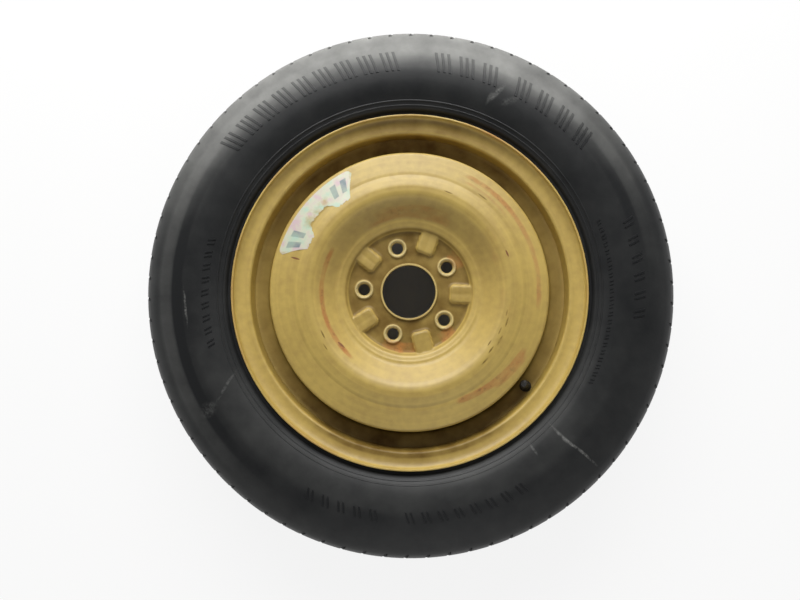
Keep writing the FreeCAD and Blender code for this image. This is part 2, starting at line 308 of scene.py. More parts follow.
def spaced(path, longest):
    """The same path with its long runs divided."""
    filled = [path[0]]
    for start, end in zip(path, path[1:]):
        count = max(1, math.ceil(np.linalg.norm(end - start) / longest))
        for i in range(1, count + 1):
            filled.append(start + (end - start) * i / count)
    return np.array(filled)


def rolled_edge(start, end, count=5):
    """Flattened half circle from one face of a sheet to the other, without its ends. It bulges to the left of
    the way across."""
    bulge = 0.6
    middle = (start + end) / 2
    across = (end - start) / 2
    out = np.array([-across[1], across[0]])
    angles = np.linspace(math.pi, 0.0, count + 2)[1:-1]
    return np.array([middle + across * math.cos(a) + out * math.sin(a) * bulge for a in angles])


def ring_faces(rows, columns, row_offset=0, closed=True):
    """Quads of a grid of vertices, numbered row by row, whose rows close on themselves or stay open."""
    index = row_offset + np.arange(rows * columns).reshape(rows, columns)
    if closed:
        index = np.column_stack([index, index[:, 0]])
    corners = [index[:-1, :-1], index[:-1, 1:], index[1:, 1:], index[1:, :-1]]
    return np.stack(corners, axis=-1).reshape(-1, 4).tolist()


def revolved(section, count):
    """Vertices and faces of a closed section turned about Z."""
    section = np.vstack([section, section[:1]])
    angles = np.arange(count) * math.tau / count
    points = on_wheel(section[:, :1], angles[None, :], section[:, 1:])
    return points.reshape(-1, 3), ring_faces(len(section), count)


def coil(radius, wire, low, high, turns, steps=24, sides=10):
    """Vertices and faces of a round wire wound about Z, with closed ends."""
    angles = np.arange(turns * steps + 1) * math.tau / steps
    round_wire = np.arange(sides) * math.tau / sides
    out = radius + wire / 2 * np.cos(round_wire)
    level = np.linspace(low, high, len(angles))[:, None] + wire / 2 * np.sin(round_wire)
    points = on_wheel(out[None, :], angles[:, None], level)
    last = (len(angles) - 1) * sides
    ends = [list(range(sides))[::-1], list(range(last, last + sides))]
    return points.reshape(-1, 3), ring_faces(len(angles), sides) + ends


def smooth(mesh):
    """Shades a mesh smooth up to the sharp angle."""
    mesh.shade_smooth()
    mesh.set_sharp_from_angle(angle=math.radians(SHARP_ANGLE))


def settle(mesh):
    """Welds a mesh's doubles, turns its faces outwards and shades it smooth."""
    work = bmesh.new()
    work.from_mesh(mesh)
    bmesh.ops.remove_doubles(work, verts=work.verts, dist=DOUBLE_DISTANCE)
    bmesh.ops.recalc_face_normals(work, faces=work.faces)
    work.to_mesh(mesh)
    work.free()
    smooth(mesh)


def new_piece(name, vertices, faces):
    """A piece in the scene from its vertices and faces."""
    mesh = bpy.data.meshes.new(name)
    mesh.from_pydata(np.asarray(vertices).tolist(), [], faces)
    settle(mesh)
    piece = bpy.data.objects.new(name, mesh)
    bpy.context.scene.collection.objects.link(piece)
    return piece


# Input sockets of a colour mix: the share of the upper colour, the lower and the upper colour
SHARE, LOWER, UPPER = 0, 6, 7


def fill(tree, node, sockets):
    """Sets or links input sockets of a node. A node given as a value stands for its first output in use, and
    a colour is opaque."""
    for key, value in sockets.items():
        socket = node.inputs[key]
        if isinstance(value, bpy.types.Node):
            value = next(output for output in value.outputs if output.enabled)
        if isinstance(value, bpy.types.NodeSocket):
            tree.links.new(value, socket)
        elif socket.type == "RGBA":
            socket.default_value = (*value, 1.0)
        else:
            socket.default_value = value


def add(tree, kind, sockets=None, **settings):
    """Adds a node with its settings and fills its input sockets."""
    node = tree.nodes.new(kind)
    for name, value in settings.items():
        setattr(node, name, value)
    fill(tree, node, sockets or {})
    return node


def repeat_tree():
    """Geometry Nodes tree that repeats a mesh by steps about Z and welds the copies where they meet."""
    tree = bpy.data.node_groups.get("Repeat about the axle")
    if tree:
        return tree
    tree = bpy.data.node_groups.new("Repeat about the axle", "GeometryNodeTree")
    for name, kind in (
        ("Geometry", "NodeSocketGeometry"),
        ("Copies", "NodeSocketInt"),
        ("Step", "NodeSocketFloat"),
        ("Weld distance", "NodeSocketFloat"),
        ("Material", "NodeSocketMaterial"),
    ):
        tree.interface.new_socket(name, in_out="INPUT", socket_type=kind)
    tree.interface.new_socket("Geometry", in_out="OUTPUT", socket_type="NodeSocketGeometry")
    given = add(tree, "NodeGroupInput").outputs
    points = add(tree, "GeometryNodePoints", {"Count": given["Copies"]})
    index = add(tree, "GeometryNodeInputIndex")
    angle = add(tree, "ShaderNodeMath", {0: index, 1: given["Step"]}, operation="MULTIPLY")
    turn = add(tree, "ShaderNodeCombineXYZ", {"Z": angle})
    copies = add(
        tree,
        "GeometryNodeInstanceOnPoints",
        {"Points": points, "Instance": given["Geometry"], "Rotation": turn},
    )
    real = add(tree, "GeometryNodeRealizeInstances", {0: copies})
    welded = add(tree, "GeometryNodeMergeByDistance", {"Geometry": real, "Distance": given["Weld distance"]})
    done = add(tree, "GeometryNodeSetMaterial", {"Geometry": welded, "Material": given["Material"]})
    add(tree, "NodeGroupOutput", {0: done})
    return tree


def repeat(piece, copies, step, material):
    """Repeats a piece about Z by steps in degrees and leaves it as one plain mesh."""
    tree = repeat_tree()
    modifier = piece.modifiers.new("Repeat", "NODES")
    modifier.node_group = tree
    values = {
        "Copies": copies,
        "Step": math.radians(step),
        "Weld distance": WELD_DISTANCE,
        "Material": material,
    }
    for socket in tree.interface.items_tree:
        if socket.in_out == "INPUT" and socket.name in values:
            modifier[socket.identifier] = values[socket.name]
    bpy.context.view_layer.update()
    shown = piece.evaluated_get(bpy.context.evaluated_depsgraph_get())
    mesh = bpy.data.meshes.new_from_object(shown)
    piece.modifiers.clear()
    old = piece.data
    piece.data = mesh
    bpy.data.meshes.remove(old)
    settle(mesh)
    return piece


def join(pieces):
    """One piece from several, which are removed."""
    work = bmesh.new()
    for piece in pieces:
        work.from_mesh(piece.data)
    work.to_mesh(pieces[0].data)
    work.free()
    for piece in pieces[1:]:
        bpy.data.objects.remove(piece)
    smooth(pieces[0].data)
    return pieces[0]


def dress(piece, body, slot, material, *nodes):
    """Gives a piece its finish, the body that it rides on and the solids that it stands for."""
    piece.data.materials.clear()
    piece.data.materials.append(material)
    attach(piece, body)
    if nodes:
        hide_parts(*nodes)


def places(piece):
    """Radius, angle in degrees and height of each vertex of a piece."""
    points = np.empty(len(piece.data.vertices) * 3, np.float32)
    piece.data.vertices.foreach_get("co", points)
    x, y, z = points.reshape(-1, 3).astype(float).T
    return np.hypot(x, y), np.degrees(np.arctan2(y, x)), z


def stain(piece, name, share):
    """Keeps a share from 0 to 1 on each vertex for a material to read."""
    layer = piece.data.attributes.new(name, "FLOAT", "POINT")
    layer.data.foreach_set("value", np.clip(share, 0.0, 1.0).astype(np.float32))


def around(angle, centre, spread, soft):
    """1 within spread degrees of centre, and 0 further than soft outside that."""
    away = np.abs((angle - centre + 180.0) % 360.0 - 180.0)
    return 1.0 - ramp(away, spread, spread + soft)


def new_material(name):
    """Material with an empty tree, and its shader and object coordinates."""
    material = bpy.data.materials.new(name)
    material.use_nodes = True
    tree = material.node_tree
    tree.nodes.clear()
    shader = add(tree, "ShaderNodeBsdfPrincipled")
    add(tree, "ShaderNodeOutputMaterial", {"Surface": shader})
    coordinates = add(tree, "ShaderNodeTexCoord").outputs["Object"]
    return material, tree, shader, coordinates


def strokes(tree, place, marks):
    """Strongest of some soft strokes on the front, each given by its centre in millimetres, bearing in
    degrees, half length and half width in millimetres, and strength."""
    strongest = None
    for x, y, bearing, length, width, strength in marks:
        stroke = add(
            tree,
            "ShaderNodeMapping",
            {
                "Vector": place,
                "Location": (x * MM, y * MM, 60 * MM),
                "Rotation": (0.0, 0.0, math.radians(bearing)),
                "Scale": (length * MM, width * MM, 100 * MM),
            },
            vector_type="TEXTURE",
        )
        away = add(tree, "ShaderNodeVectorMath", {0: stroke}, operation="LENGTH")
        share = add(
            tree,
            "ShaderNodeMapRange",
            {"Value": away, "From Min": 1.0, "From Max": 0.35, "To Max": strength},
            interpolation_type="SMOOTHSTEP",
        )
        if strongest:
            share = add(tree, "ShaderNodeMath", {0: strongest, 1: share}, operation="MAXIMUM")
        strongest = share
    return strongest


def mustard_paint(sizes, colours):
    """Dull mustard enamel, sprayed on pressed steel: the eye sees soft orange peel, blotches, and rust and
    soiling where it was knocked or stayed damp, with the same brown painted where shade falls on the steel."""
    material, tree, shader, place = new_material("Mustard enamel on steel")
    blotch = add(tree, "ShaderNodeTexNoise", {"Vector": place, "Scale": 1 / (70 * MM), "Detail": 5.0})
    mottle = add(tree, "ShaderNodeTexNoise", {"Vector": place, "Scale": 1 / (9 * MM), "Detail": 6.0})
    flat = add(tree, "ShaderNodeVectorMath", {0: place, 1: (1.0, 1.0, 0.0)}, operation="MULTIPLY")
    out = add(tree, "ShaderNodeVectorMath", {0: flat}, operation="LENGTH")
    rings = add(
        tree, "ShaderNodeTexNoise", {"W": out, "Scale": 1 / (9 * MM), "Detail": 4.0}, noise_dimensions="1D"
    )
    cloudy = add(tree, "ShaderNodeMath", {0: blotch, 1: mottle}, operation="ADD")
    shade = add(tree, "ShaderNodeMath", {0: rings, 1: 0.6, 2: cloudy}, operation="MULTIPLY_ADD")
    deep = add(tree, "ShaderNodeMapRange", {"Value": shade, "From Min": 1.0, "From Max": 1.55})
    paint = add(
        tree,
        "ShaderNodeMix",
        {SHARE: deep, LOWER: colours.paint_deep, UPPER: colours.paint},
        data_type="RGBA",
    )

    rub = add(tree, "ShaderNodeAttribute", attribute_name="rub").outputs["Fac"]
    pale = add(
        tree, "ShaderNodeMix", {SHARE: rub, LOWER: paint, UPPER: colours.paint_worn}, data_type="RGBA"
    )

    # This attribute carries dirt and painted shade: shade on the upper flange face, at the bottom of the rim's
    # seat and on the top of the disc's bowl.
    grime = add(tree, "ShaderNodeAttribute", attribute_name="grime").outputs["Fac"]
    patchy = add(tree, "ShaderNodeTexNoise", {"Vector": place, "Scale": 1 / (22 * MM), "Detail": 6.0})
    uneven = add(tree, "ShaderNodeMapRange", {"Value": patchy, "To Min": 0.2, "To Max": 0.8})
    uneven_grime_and_shade = add(tree, "ShaderNodeMath", {0: grime, 1: uneven}, operation="MULTIPLY")
    scuffs = strokes(
        tree,
        place,
        [
            (r * math.cos(math.radians(a)), r * math.sin(math.radians(a)), a - 90.0, length, width, 0.9)
            for r, a, length, width in (
                (122, -13, 6, 1.3),
                (125, -18, 9, 1.6),
                (121, -24, 7, 1.4),
                (126, -29, 10, 1.8),
                (123, -36, 8, 1.5),
                (126, -43, 9, 1.6),
                (117, -33, 6, 1.2),
                (118, 207, 9, 1.4),
                (123, 214, 7, 1.2),
                (130, 68, 8, 1.2),
                (147, 52, 10, 1.4),
            )
        ],
    )
    scuffed = add(tree, "ShaderNodeMath", {0: scuffs, 1: mottle}, operation="MULTIPLY")
    dirt_and_shade = add(tree, "ShaderNodeMath", {0: uneven_grime_and_shade, 1: scuffed}, operation="MAXIMUM")
    dirt_and_shade_share = add(tree, "ShaderNodeMapRange", {"Value": dirt_and_shade, "From Min": 0.05, "From Max": 0.7})
    dirtied_and_shaded = add(
        tree, "ShaderNodeMix", {SHARE: dirt_and_shade_share, LOWER: pale, UPPER: colours.grime}, data_type="RGBA"
    )

    rust = add(tree, "ShaderNodeAttribute", attribute_name="rust").outputs["Fac"]
    # Rust runs along the wheel, so its noise is drawn out round the axle.
    # The seam lies at the bottom, in clean paint.
    turned = add(tree, "ShaderNodeMapping", {"Vector": place, "Rotation": (0.0, 0.0, math.radians(-80.0))})
    split = add(tree, "ShaderNodeSeparateXYZ", {0: turned})
    bearing = add(tree, "ShaderNodeMath", {0: split.outputs["Y"], 1: split.outputs["X"]}, operation="ARCTAN2")
    drawn = add(tree, "ShaderNodeMath", {0: bearing, 1: 45 * MM}, operation="MULTIPLY")
    along = add(tree, "ShaderNodeCombineXYZ", {"X": out, "Y": drawn, "Z": split.outputs["Z"]})
    bloom = add(
        tree,
        "ShaderNodeTexNoise",
        {"Vector": along, "Scale": 1 / (11 * MM), "Detail": 8.0, "Roughness": 0.62},
    )
    spread = add(tree, "ShaderNodeMath", {0: rust, 1: bloom}, operation="MULTIPLY")
    rust_share = add(
        tree,
        "ShaderNodeMapRange",
        {"Value": spread, "From Min": 0.2, "From Max": 0.6, "To Max": min(1.0, sizes.rust)},
    )
    grain = add(tree, "ShaderNodeTexNoise", {"Vector": place, "Scale": 1 / (5 * MM), "Detail": 5.0})
    old = add(tree, "ShaderNodeMapRange", {"Value": grain, "From Min": 0.52, "From Max": 0.74})
    rust_colour = add(
        tree, "ShaderNodeMix", {SHARE: old, LOWER: colours.rust, UPPER: colours.rust_deep}, data_type="RGBA"
    )
    stained = add(
        tree, "ShaderNodeMix", {SHARE: rust_share, LOWER: dirtied_and_shaded, UPPER: rust_colour}, data_type="RGBA"
    )

    chip = add(tree, "ShaderNodeAttribute", attribute_name="chip").outputs["Fac"]
    knocks = strokes(
        tree, place, ((-140, 40, -16, 9, 1.8, 1.0), (-83, -67, -42, 9, 1.9, 0.9), (120, 45, -66, 7, 1.6, 0.9))
    )
    worn = add(tree, "ShaderNodeMath", {0: chip, 1: knocks}, operation="MAXIMUM")
    edge = add(tree, "ShaderNodeMath", {0: worn, 1: mottle}, operation="MULTIPLY")
    bare = add(tree, "ShaderNodeMapRange", {"Value": edge, "From Min": 0.22, "From Max": 0.34})
    chipped = add(
        tree, "ShaderNodeMix", {SHARE: bare, LOWER: stained, UPPER: colours.rust_deep}, data_type="RGBA"
    )

    rough = add(tree, "ShaderNodeMapRange", {"Value": rust_share, "To Min": 0.48, "To Max": 0.85})
    sheen = add(tree, "ShaderNodeMapRange", {"Value": dirt_and_shade_share, "To Min": 0.8, "To Max": 0.15})
    peel = add(tree, "ShaderNodeTexNoise", {"Vector": place, "Scale": 1 / (3 * MM), "Detail": 3.0})
    bump = add(tree, "ShaderNodeBump", {"Height": peel, "Strength": 0.12, "Distance": 0.4 * MM})
    crust = add(
        tree, "ShaderNodeBump", {"Height": spread, "Strength": 0.25, "Distance": 0.6 * MM, "Normal": bump}
    )
    ends = {"Base Color": chipped, "Roughness": rough, "Specular IOR Level": sheen, "Normal": crust}
    fill(tree, shader, ends)
    return material


def tyre_rubber(sizes, colours):
    """Carbon-black rubber from a mould: the eye sees a dull grey-black with a broad soft sheen, fine grain,
    dry dust on the shoulders and pale scuffs. The dust on the upper shoulder also paints its highlight,
    and a light and a dark ring on the upper sidewall are painted highlight and painted shade."""
    material, tree, shader, place = new_material("Moulded carbon-black rubber")
    # The dust attribute carries dust and painted light: the highlight on the upper shoulder, and a light and a
    # dark ring on the sidewall.
    dust = add(tree, "ShaderNodeAttribute", attribute_name="dust").outputs["Fac"]
    cloud = add(
        tree,
        "ShaderNodeTexNoise",
        {"Vector": place, "Scale": 1 / (40 * MM), "Detail": 7.0, "Roughness": 0.6},
    )
    strewn = add(
        tree,
        "ShaderNodeVectorMath",
        {0: cloud.outputs["Color"], 1: (8 * MM, 8 * MM, 0.0), 2: place},
        operation="MULTIPLY_ADD",
    )
    thin = add(tree, "ShaderNodeMapRange", {"Value": cloud, "To Min": 0.2, "To Max": 0.8})
    drift = add(tree, "ShaderNodeMath", {0: dust, 1: thin}, operation="MULTIPLY")
    dust_and_light_share = add(
        tree,
        "ShaderNodeMapRange",
        {"Value": drift, "From Min": 0.03, "From Max": 0.5, "To Max": min(1.0, 0.8 * sizes.dust)},
    )
    body = add(
        tree, "ShaderNodeMix", {SHARE: dust_and_light_share, LOWER: colours.rubber, UPPER: colours.dust}, data_type="RGBA"
    )

    # Dry scratches and smears on the sidewall
    rubs = strokes(
        tree,
        strewn,
        (
            (203, -183, -42, 46, 2.4, 0.5),
            (190, -172, -44, 22, 3.2, 0.3),
            (153, -188, -57, 9, 1.8, 0.35),
            (-269, -16, -84, 30, 1.8, 0.4),
            (-238, -140, 45, 15, 11, 0.14),
            (-218, -112, 59, 28, 2.4, 0.22),
            (112, 246, 46, 20, 4.5, 0.3),
            (103, 240, 62, 12, 3.0, 0.25),
            (128, 236, 20, 16, 6.0, 0.15),
        ),
    )
    grit = add(
        tree,
        "ShaderNodeTexNoise",
        {"Vector": place, "Scale": 1 / (5 * MM), "Detail": 6.0, "Roughness": 0.7},
    )
    caught = add(tree, "ShaderNodeMapRange", {"Value": grit, "From Min": 0.38, "From Max": 0.66})
    broken = add(tree, "ShaderNodeMath", {0: rubs, 1: caught}, operation="MULTIPLY")
    marked = add(tree, "ShaderNodeMix", {SHARE: broken, LOWER: body, UPPER: colours.dust}, data_type="RGBA")

    rough = add(tree, "ShaderNodeMapRange", {"Value": dust_and_light_share, "To Min": 0.42, "To Max": 0.8})
    grain = add(tree, "ShaderNodeTexNoise", {"Vector": place, "Scale": 1 / (2.5 * MM), "Detail": 4.0})
    bump = add(tree, "ShaderNodeBump", {"Height": grain, "Strength": 0.2, "Distance": 0.3 * MM})
    ends = {"Base Color": marked, "Roughness": rough, "Specular IOR Level": 0.25, "Normal": bump}
    fill(tree, shader, ends)
    return material


def label_film(colours):
    """Metallised polyester film, printed and glued on: the eye sees a silvery white sheet with faint colour
    shifts, plain blue-grey fields and places worn through to the paint."""
    material, tree, shader, place = new_material("Metallised polyester film")
    across = add(tree, "ShaderNodeUVMap", uv_map="film")
    split = add(tree, "ShaderNodeSeparateXYZ", {0: across})
    tint = add(tree, "ShaderNodeTexNoise", {"Vector": place, "Scale": 1 / (14 * MM), "Detail": 3.0})
    hue = add(tree, "ShaderNodeHueSaturation", {"Hue": tint, "Saturation": 2.2, "Color": colours.film})

    # Two plain fields stand near each end of the film.
    centred = add(tree, "ShaderNodeMath", {0: split.outputs["X"], 1: 0.5}, operation="SUBTRACT")
    mirrored = add(tree, "ShaderNodeMath", {0: centred}, operation="ABSOLUTE")
    from_pair = add(tree, "ShaderNodeMath", {0: mirrored, 1: 0.36}, operation="SUBTRACT")
    paired = add(tree, "ShaderNodeMath", {0: from_pair}, operation="ABSOLUTE")
    from_field = add(tree, "ShaderNodeMath", {0: paired, 1: 0.06}, operation="SUBTRACT")
    aside = add(tree, "ShaderNodeMath", {0: from_field}, operation="ABSOLUTE")
    field = add(tree, "ShaderNodeMapRange", {"Value": aside, "From Min": 0.036, "From Max": 0.029})
    low = add(tree, "ShaderNodeMapRange", {"Value": split.outputs["Y"], "From Min": 0.2, "From Max": 0.23})
    high = add(tree, "ShaderNodeMapRange", {"Value": split.outputs["Y"], "From Min": 0.7, "From Max": 0.67})
    for limit in (low, high):
        field = add(tree, "ShaderNodeMath", {0: field, 1: limit}, operation="MULTIPLY")
    faded = add(
        tree,
        "ShaderNodeMapRange",
        {"Value": tint, "From Min": 0.3, "From Max": 0.6, "To Min": 0.9, "To Max": 0.5},
    )
    worn_print = add(tree, "ShaderNodeMath", {0: field, 1: faded}, operation="MULTIPLY")
    printed = add(
        tree, "ShaderNodeMix", {SHARE: worn_print, LOWER: hue, UPPER: colours.film_print}, data_type="RGBA"
    )

    fray = add(
        tree,
        "ShaderNodeTexNoise",
        {"Vector": place, "Scale": 1 / (11 * MM), "Detail": 6.0, "Roughness": 0.6},
    )
    wear = add(tree, "ShaderNodeAttribute", attribute_name="wear").outputs["Fac"]
    rubbed = add(tree, "ShaderNodeMath", {0: wear, 1: fray}, operation="MULTIPLY")
    through = add(
        tree, "ShaderNodeMapRange", {"Value": rubbed, "From Min": 0.28, "From Max": 0.55, "To Max": 0.8}
    )
    shown = add(
        tree, "ShaderNodeMix", {SHARE: through, LOWER: printed, UPPER: colours.paint_deep}, data_type="RGBA"
    )
    crease = add(tree, "ShaderNodeBump", {"Height": fray, "Strength": 0.15, "Distance": 0.3 * MM})
    fill(tree, shader, {"Base Color": shown, "Roughness": 0.35, "Normal": crease})
    return material


def turned_brass(colours):
    """Free-cutting brass off a lathe: the eye sees a bright yellow metal, unevenly dulled by air."""
    material, tree, shader, place = new_material("Turned brass")
    dull = add(tree, "ShaderNodeTexNoise", {"Vector": place, "Scale": 1 / (2 * MM), "Detail": 4.0})
    rough = add(tree, "ShaderNodeMapRange", {"Value": dull, "To Min": 0.2, "To Max": 0.5})
    fill(tree, shader, {"Base Color": colours.brass, "Metallic": 1.0, "Roughness": rough})
    return material


def spring_wire(colours):
    """Drawn spring steel: the eye sees a bright, slightly grey wire."""
    material, tree, shader, place = new_material("Drawn spring steel")
    draw = add(tree, "ShaderNodeTexNoise", {"Vector": place, "Scale": 1 / (0.4 * MM), "Detail": 2.0})
    rough = add(tree, "ShaderNodeMapRange", {"Value": draw, "To Min": 0.2, "To Max": 0.4})
    fill(tree, shader, {"Base Color": colours.steel, "Metallic": 1.0, "Roughness": rough})
    return material


def black_moulding(name, colours, roughness, grain):
    """Black moulded piece: the eye sees a plain near-black with a faint grain and a little dust in it."""
    material, tree, shader, place = new_material(name)
    speck = add(tree, "ShaderNodeTexNoise", {"Vector": place, "Scale": 1 / grain, "Detail": 5.0})
    share = add(
        tree, "ShaderNodeMapRange", {"Value": speck, "From Min": 0.5, "From Max": 0.9, "To Max": 0.3}
    )
    colour = add(
        tree, "ShaderNodeMix", {SHARE: share, LOWER: colours.plastic, UPPER: colours.dust}, data_type="RGBA"
    )
    bump = add(tree, "ShaderNodeBump", {"Height": speck, "Strength": 0.15, "Distance": 0.1 * MM})
    fill(tree, shader, {"Base Color": colour, "Roughness": roughness, "Normal": bump})
    return material


def finish(name, make, *values):
    """A finish by name, made the first time that it is asked for."""
    return bpy.data.materials.get(name) or make(*values)


def tread_radius(height):
    """Radius of the tread's crown at a height across it."""
    curve = (TREAD_EDGE ** 2 + CROWN_DROP ** 2) / (2 * CROWN_DROP)
    return TYRE_RADIUS - curve + math.sqrt(curve ** 2 - height ** 2)


def sidewall(radius):
    """Height and outward direction of the sidewall at a radius between the rim and the shoulder."""
    shelf = np.array([LIP_RADIUS + BEAD_GAP + BEAD_SHELF, FLANGE_FACE + FLANGE_CURL])
    end = SHOULDER if radius >= WIDEST_RADIUS else shelf
    drop = TYRE_HALF_WIDTH - end[1]
    curve = ((end[0] - WIDEST_RADIUS) ** 2 + drop ** 2) / (2 * drop)
    away = radius - WIDEST_RADIUS
    rise = math.sqrt(curve ** 2 - away ** 2)
    return TYRE_HALF_WIDTH - curve + rise, np.array([away, rise]) / curve


def tread_rows():
    """Rows from the tread's centre to the shoulder: radius, height and depth of the notch or slot there."""
    notch_near = GROOVE_HALF + NOTCH_LENGTH
    notch_far = GROOVE_PITCH - GROOVE_HALF - NOTCH_LENGTH
    outer_land = GROOVE_PITCH + GROOVE_HALF
    lean = 0.4 * MM
    rows = []
    for height, groove, notch in (
        (0.0, GROOVE_DEPTH, 0.0),
        (GROOVE_HALF - lean, GROOVE_DEPTH, 0.0),
        (GROOVE_HALF, 0.0, NOTCH_DEPTH),
        (notch_near - lean, 0.0, NOTCH_DEPTH),
        (notch_near, 0.0, 0.0),
        (notch_far, 0.0, 0.0),
        (notch_far + lean, 0.0, NOTCH_DEPTH),
        (GROOVE_PITCH - GROOVE_HALF, 0.0, NOTCH_DEPTH),
        (GROOVE_PITCH - GROOVE_HALF + lean, GROOVE_DEPTH, 0.0),
        (outer_land - lean, GROOVE_DEPTH, 0.0),
        (outer_land, 0.0, NOTCH_DEPTH),
        (outer_land + NOTCH_LENGTH - lean, 0.0, NOTCH_DEPTH),
        (outer_land + NOTCH_LENGTH, 0.0, 0.0),
        (SLOT_START, 0.0, 0.0),
        (SLOT_START + lean, 0.0, 1.0),
        (TREAD_EDGE - 2 * MM, 0.0, 1.0),
    ):
        rows.append((tread_radius(height) - groove, height, notch))
    return rows


def shoulder_rows():
    """Rows round the shoulder, from the tread's edge to the sidewall: radius, height and share of the slot's
    depth there."""
    edge = np.array([tread_radius(TREAD_EDGE), TREAD_EDGE])
    slope = TREAD_EDGE / ((TREAD_EDGE ** 2 + CROWN_DROP ** 2) / (2 * CROWN_DROP))
    heading = np.array([-math.sin(math.asin(slope)), math.cos(math.asin(slope))])
    chord = SHOULDER - edge
    across = unit(chord - heading * chord.dot(heading))
    curve = chord.dot(chord) / (2 * chord.dot(across))
    centre = edge + across * curve
    start = math.atan2(*(edge - centre)[::-1])
    turn = (math.atan2(*(SHOULDER - centre)[::-1]) - start + math.pi) % math.tau - math.pi
    shares = (0, 0.12, 0.24, 0.36, 0.5, 0.64, 0.68, 0.84, 1)
    depths = (0.7, 0.25, 0.25, 1, 1.2, 0.9, 0, 0, 0)
    rows = []
    for share, slot in zip(shares, depths):
        angle = start + turn * share
        rows.append((centre[0] + curve * math.cos(angle), centre[1] + curve * math.sin(angle), slot))
    return rows


def sidewall_rows():
    """Rows down the sidewall, round the bead and along the liner to its centre, with the moulded rings."""
    # Radius and height of the moulded rings, and half their width, in millimetres
    rings = [(231.0, 0.6), (236.0, 0.6)]
    half = 0.5
    lowest = (LIP_RADIUS + BEAD_GAP + BEAD_SHELF) / MM
    radii = set(np.linspace(lowest, SHOULDER[0] / MM - 1.5, 34).tolist())
    for middle, _ in rings:
        radii = {r for r in radii if abs(r - middle) > 2 * half}
        radii.update((middle - 2 * half, middle - half, middle + half, middle + 2 * half))
    rows = []
    for radius in sorted(radii, reverse=True):
        height, outward = sidewall(radius * MM)
        proud = sum(tall * float(abs(radius - middle) < 1.5 * half) for middle, tall in rings) * MM
        rows.append((radius * MM + outward[0] * proud, height + outward[1] * proud))

    # A groove beside the rim's lip, then the bead along the flange and the tapered seat
    curl = FLANGE_CURL + BEAD_GAP
    rows.append((LIP_RADIUS + 5.2 * MM, FLANGE_FACE + 4.4 * MM))
    for angle in np.radians([45.0, 60.0, 75.0, 90.0]):
        across = LIP_RADIUS - FLANGE_CURL + curl * math.cos(angle)
        rows.append((across, FLANGE_FACE + FLANGE_CURL - curl * math.sin(angle)))
    reach = 18.0 * MM
    taper = math.tan(math.radians(5.0))
    seat = [
        (LIP_RADIUS - FLANGE_CURL, FLANGE_FACE),
        (BEAD_SEAT, FLANGE_FACE),
        (BEAD_SEAT - reach * taper, FLANGE_FACE - reach),
    ]
    heel = rounded(beside(seat, -BEAD_GAP), [BEAD_HEEL - BEAD_GAP], math.radians(15.0))
    rows += [tuple(p) for p in heel[1:]]

    # The inside of the bead and the liner
    rows.append((BEAD_SEAT + 13.0 * MM, FLANGE_FACE - 10.0 * MM))
    for radius in (224.0, 238.0, 262.0, 286.0, 303.0):
        height, _ = sidewall(max(radius * MM, lowest * MM))
        rows.append((radius * MM, height - SIDEWALL_THICKNESS))
    rows.append((TYRE_RADIUS - TREAD_THICKNESS - 8.0 * MM, TREAD_EDGE - 6.0 * MM))
    rows.append((TYRE_RADIUS - TREAD_THICKNESS - 3.0 * MM, TREAD_EDGE - 24.0 * MM))
    return rows


def tyre_sector(sizes):
    """One pitch of the tyre: a finely divided tread and a plainer sidewall, bead and liner."""
    pitch = math.tau / sizes.tread_pitches
    tread_shares = np.array([0.0, 0.15, 0.17, 0.3, 0.32, 0.68, 1.0])
    in_slot = np.array([0, 0, 1, 1, 0, 0, 0])
    wall_columns = [0, 4, 5, 6]
    # Point of the section towards which the shoulder's slots are sunk
    heart = np.array([300.0, 44.0]) * MM

    half = tread_rows() + shoulder_rows()
    slot_rows = len(tread_rows()) - 2
    rows = []
    for i, (radius, height, sunk) in enumerate(half):
        depth = sunk * sizes.slot_depth if i >= slot_rows else sunk
        rows.append((radius, height, depth))
    rows = [(r, -h, d) for r, h, d in rows[:0:-1]] + rows

    vertices = []
    for radius, height, depth in rows:
        point = np.array([radius, abs(height)])
        inwards = unit(heart - point) if abs(height) > SLOT_START else np.array([-1.0, 0.0])
        low = point + inwards * depth
        lean = float(ramp(abs(height), SLOT_START, SHOULDER[1]))
        slant = math.radians(SLOT_SLANT) * lean * math.copysign(1, height)
        for share, sunk in zip(tread_shares, in_slot):
            r, h = low if sunk else point
            vertices.append(on_wheel(r, share * pitch + slant, math.copysign(h, height)))
    columns = len(tread_shares)
    faces = ring_faces(len(rows), columns, closed=False)

    first = len(vertices)
    upper = sidewall_rows()
    wall = [(r, h, 1.0) for r, h in upper] + [(r, -h, -1.0) for r, h in reversed(upper)]
    middle = len(upper)
    wall.insert(middle, (TYRE_RADIUS - TREAD_THICKNESS, 0.0, 0.0))
    for i, (radius, height, side) in enumerate(wall):
        slant = math.radians(SLOT_SLANT) * side * (1.0 - abs(i - (0 if side > 0 else len(wall) - 1)) / middle)
        for column in wall_columns:
            vertices.append(on_wheel(radius, tread_shares[column] * pitch + slant, height))
    across = len(wall_columns)
    faces += ring_faces(len(wall), across, first, closed=False)

    for tread_row, wall_row in ((len(rows) - 1, 0), (0, len(wall) - 1)):
        for i in range(across - 1):
            a, b = wall_columns[i], wall_columns[i + 1]
            near = [tread_row * columns + c for c in range(a, b + 1)]
            far = [first + wall_row * across + i + 1, first + wall_row * across + i]
            faces.append(near + far)
    return np.array(vertices), faces


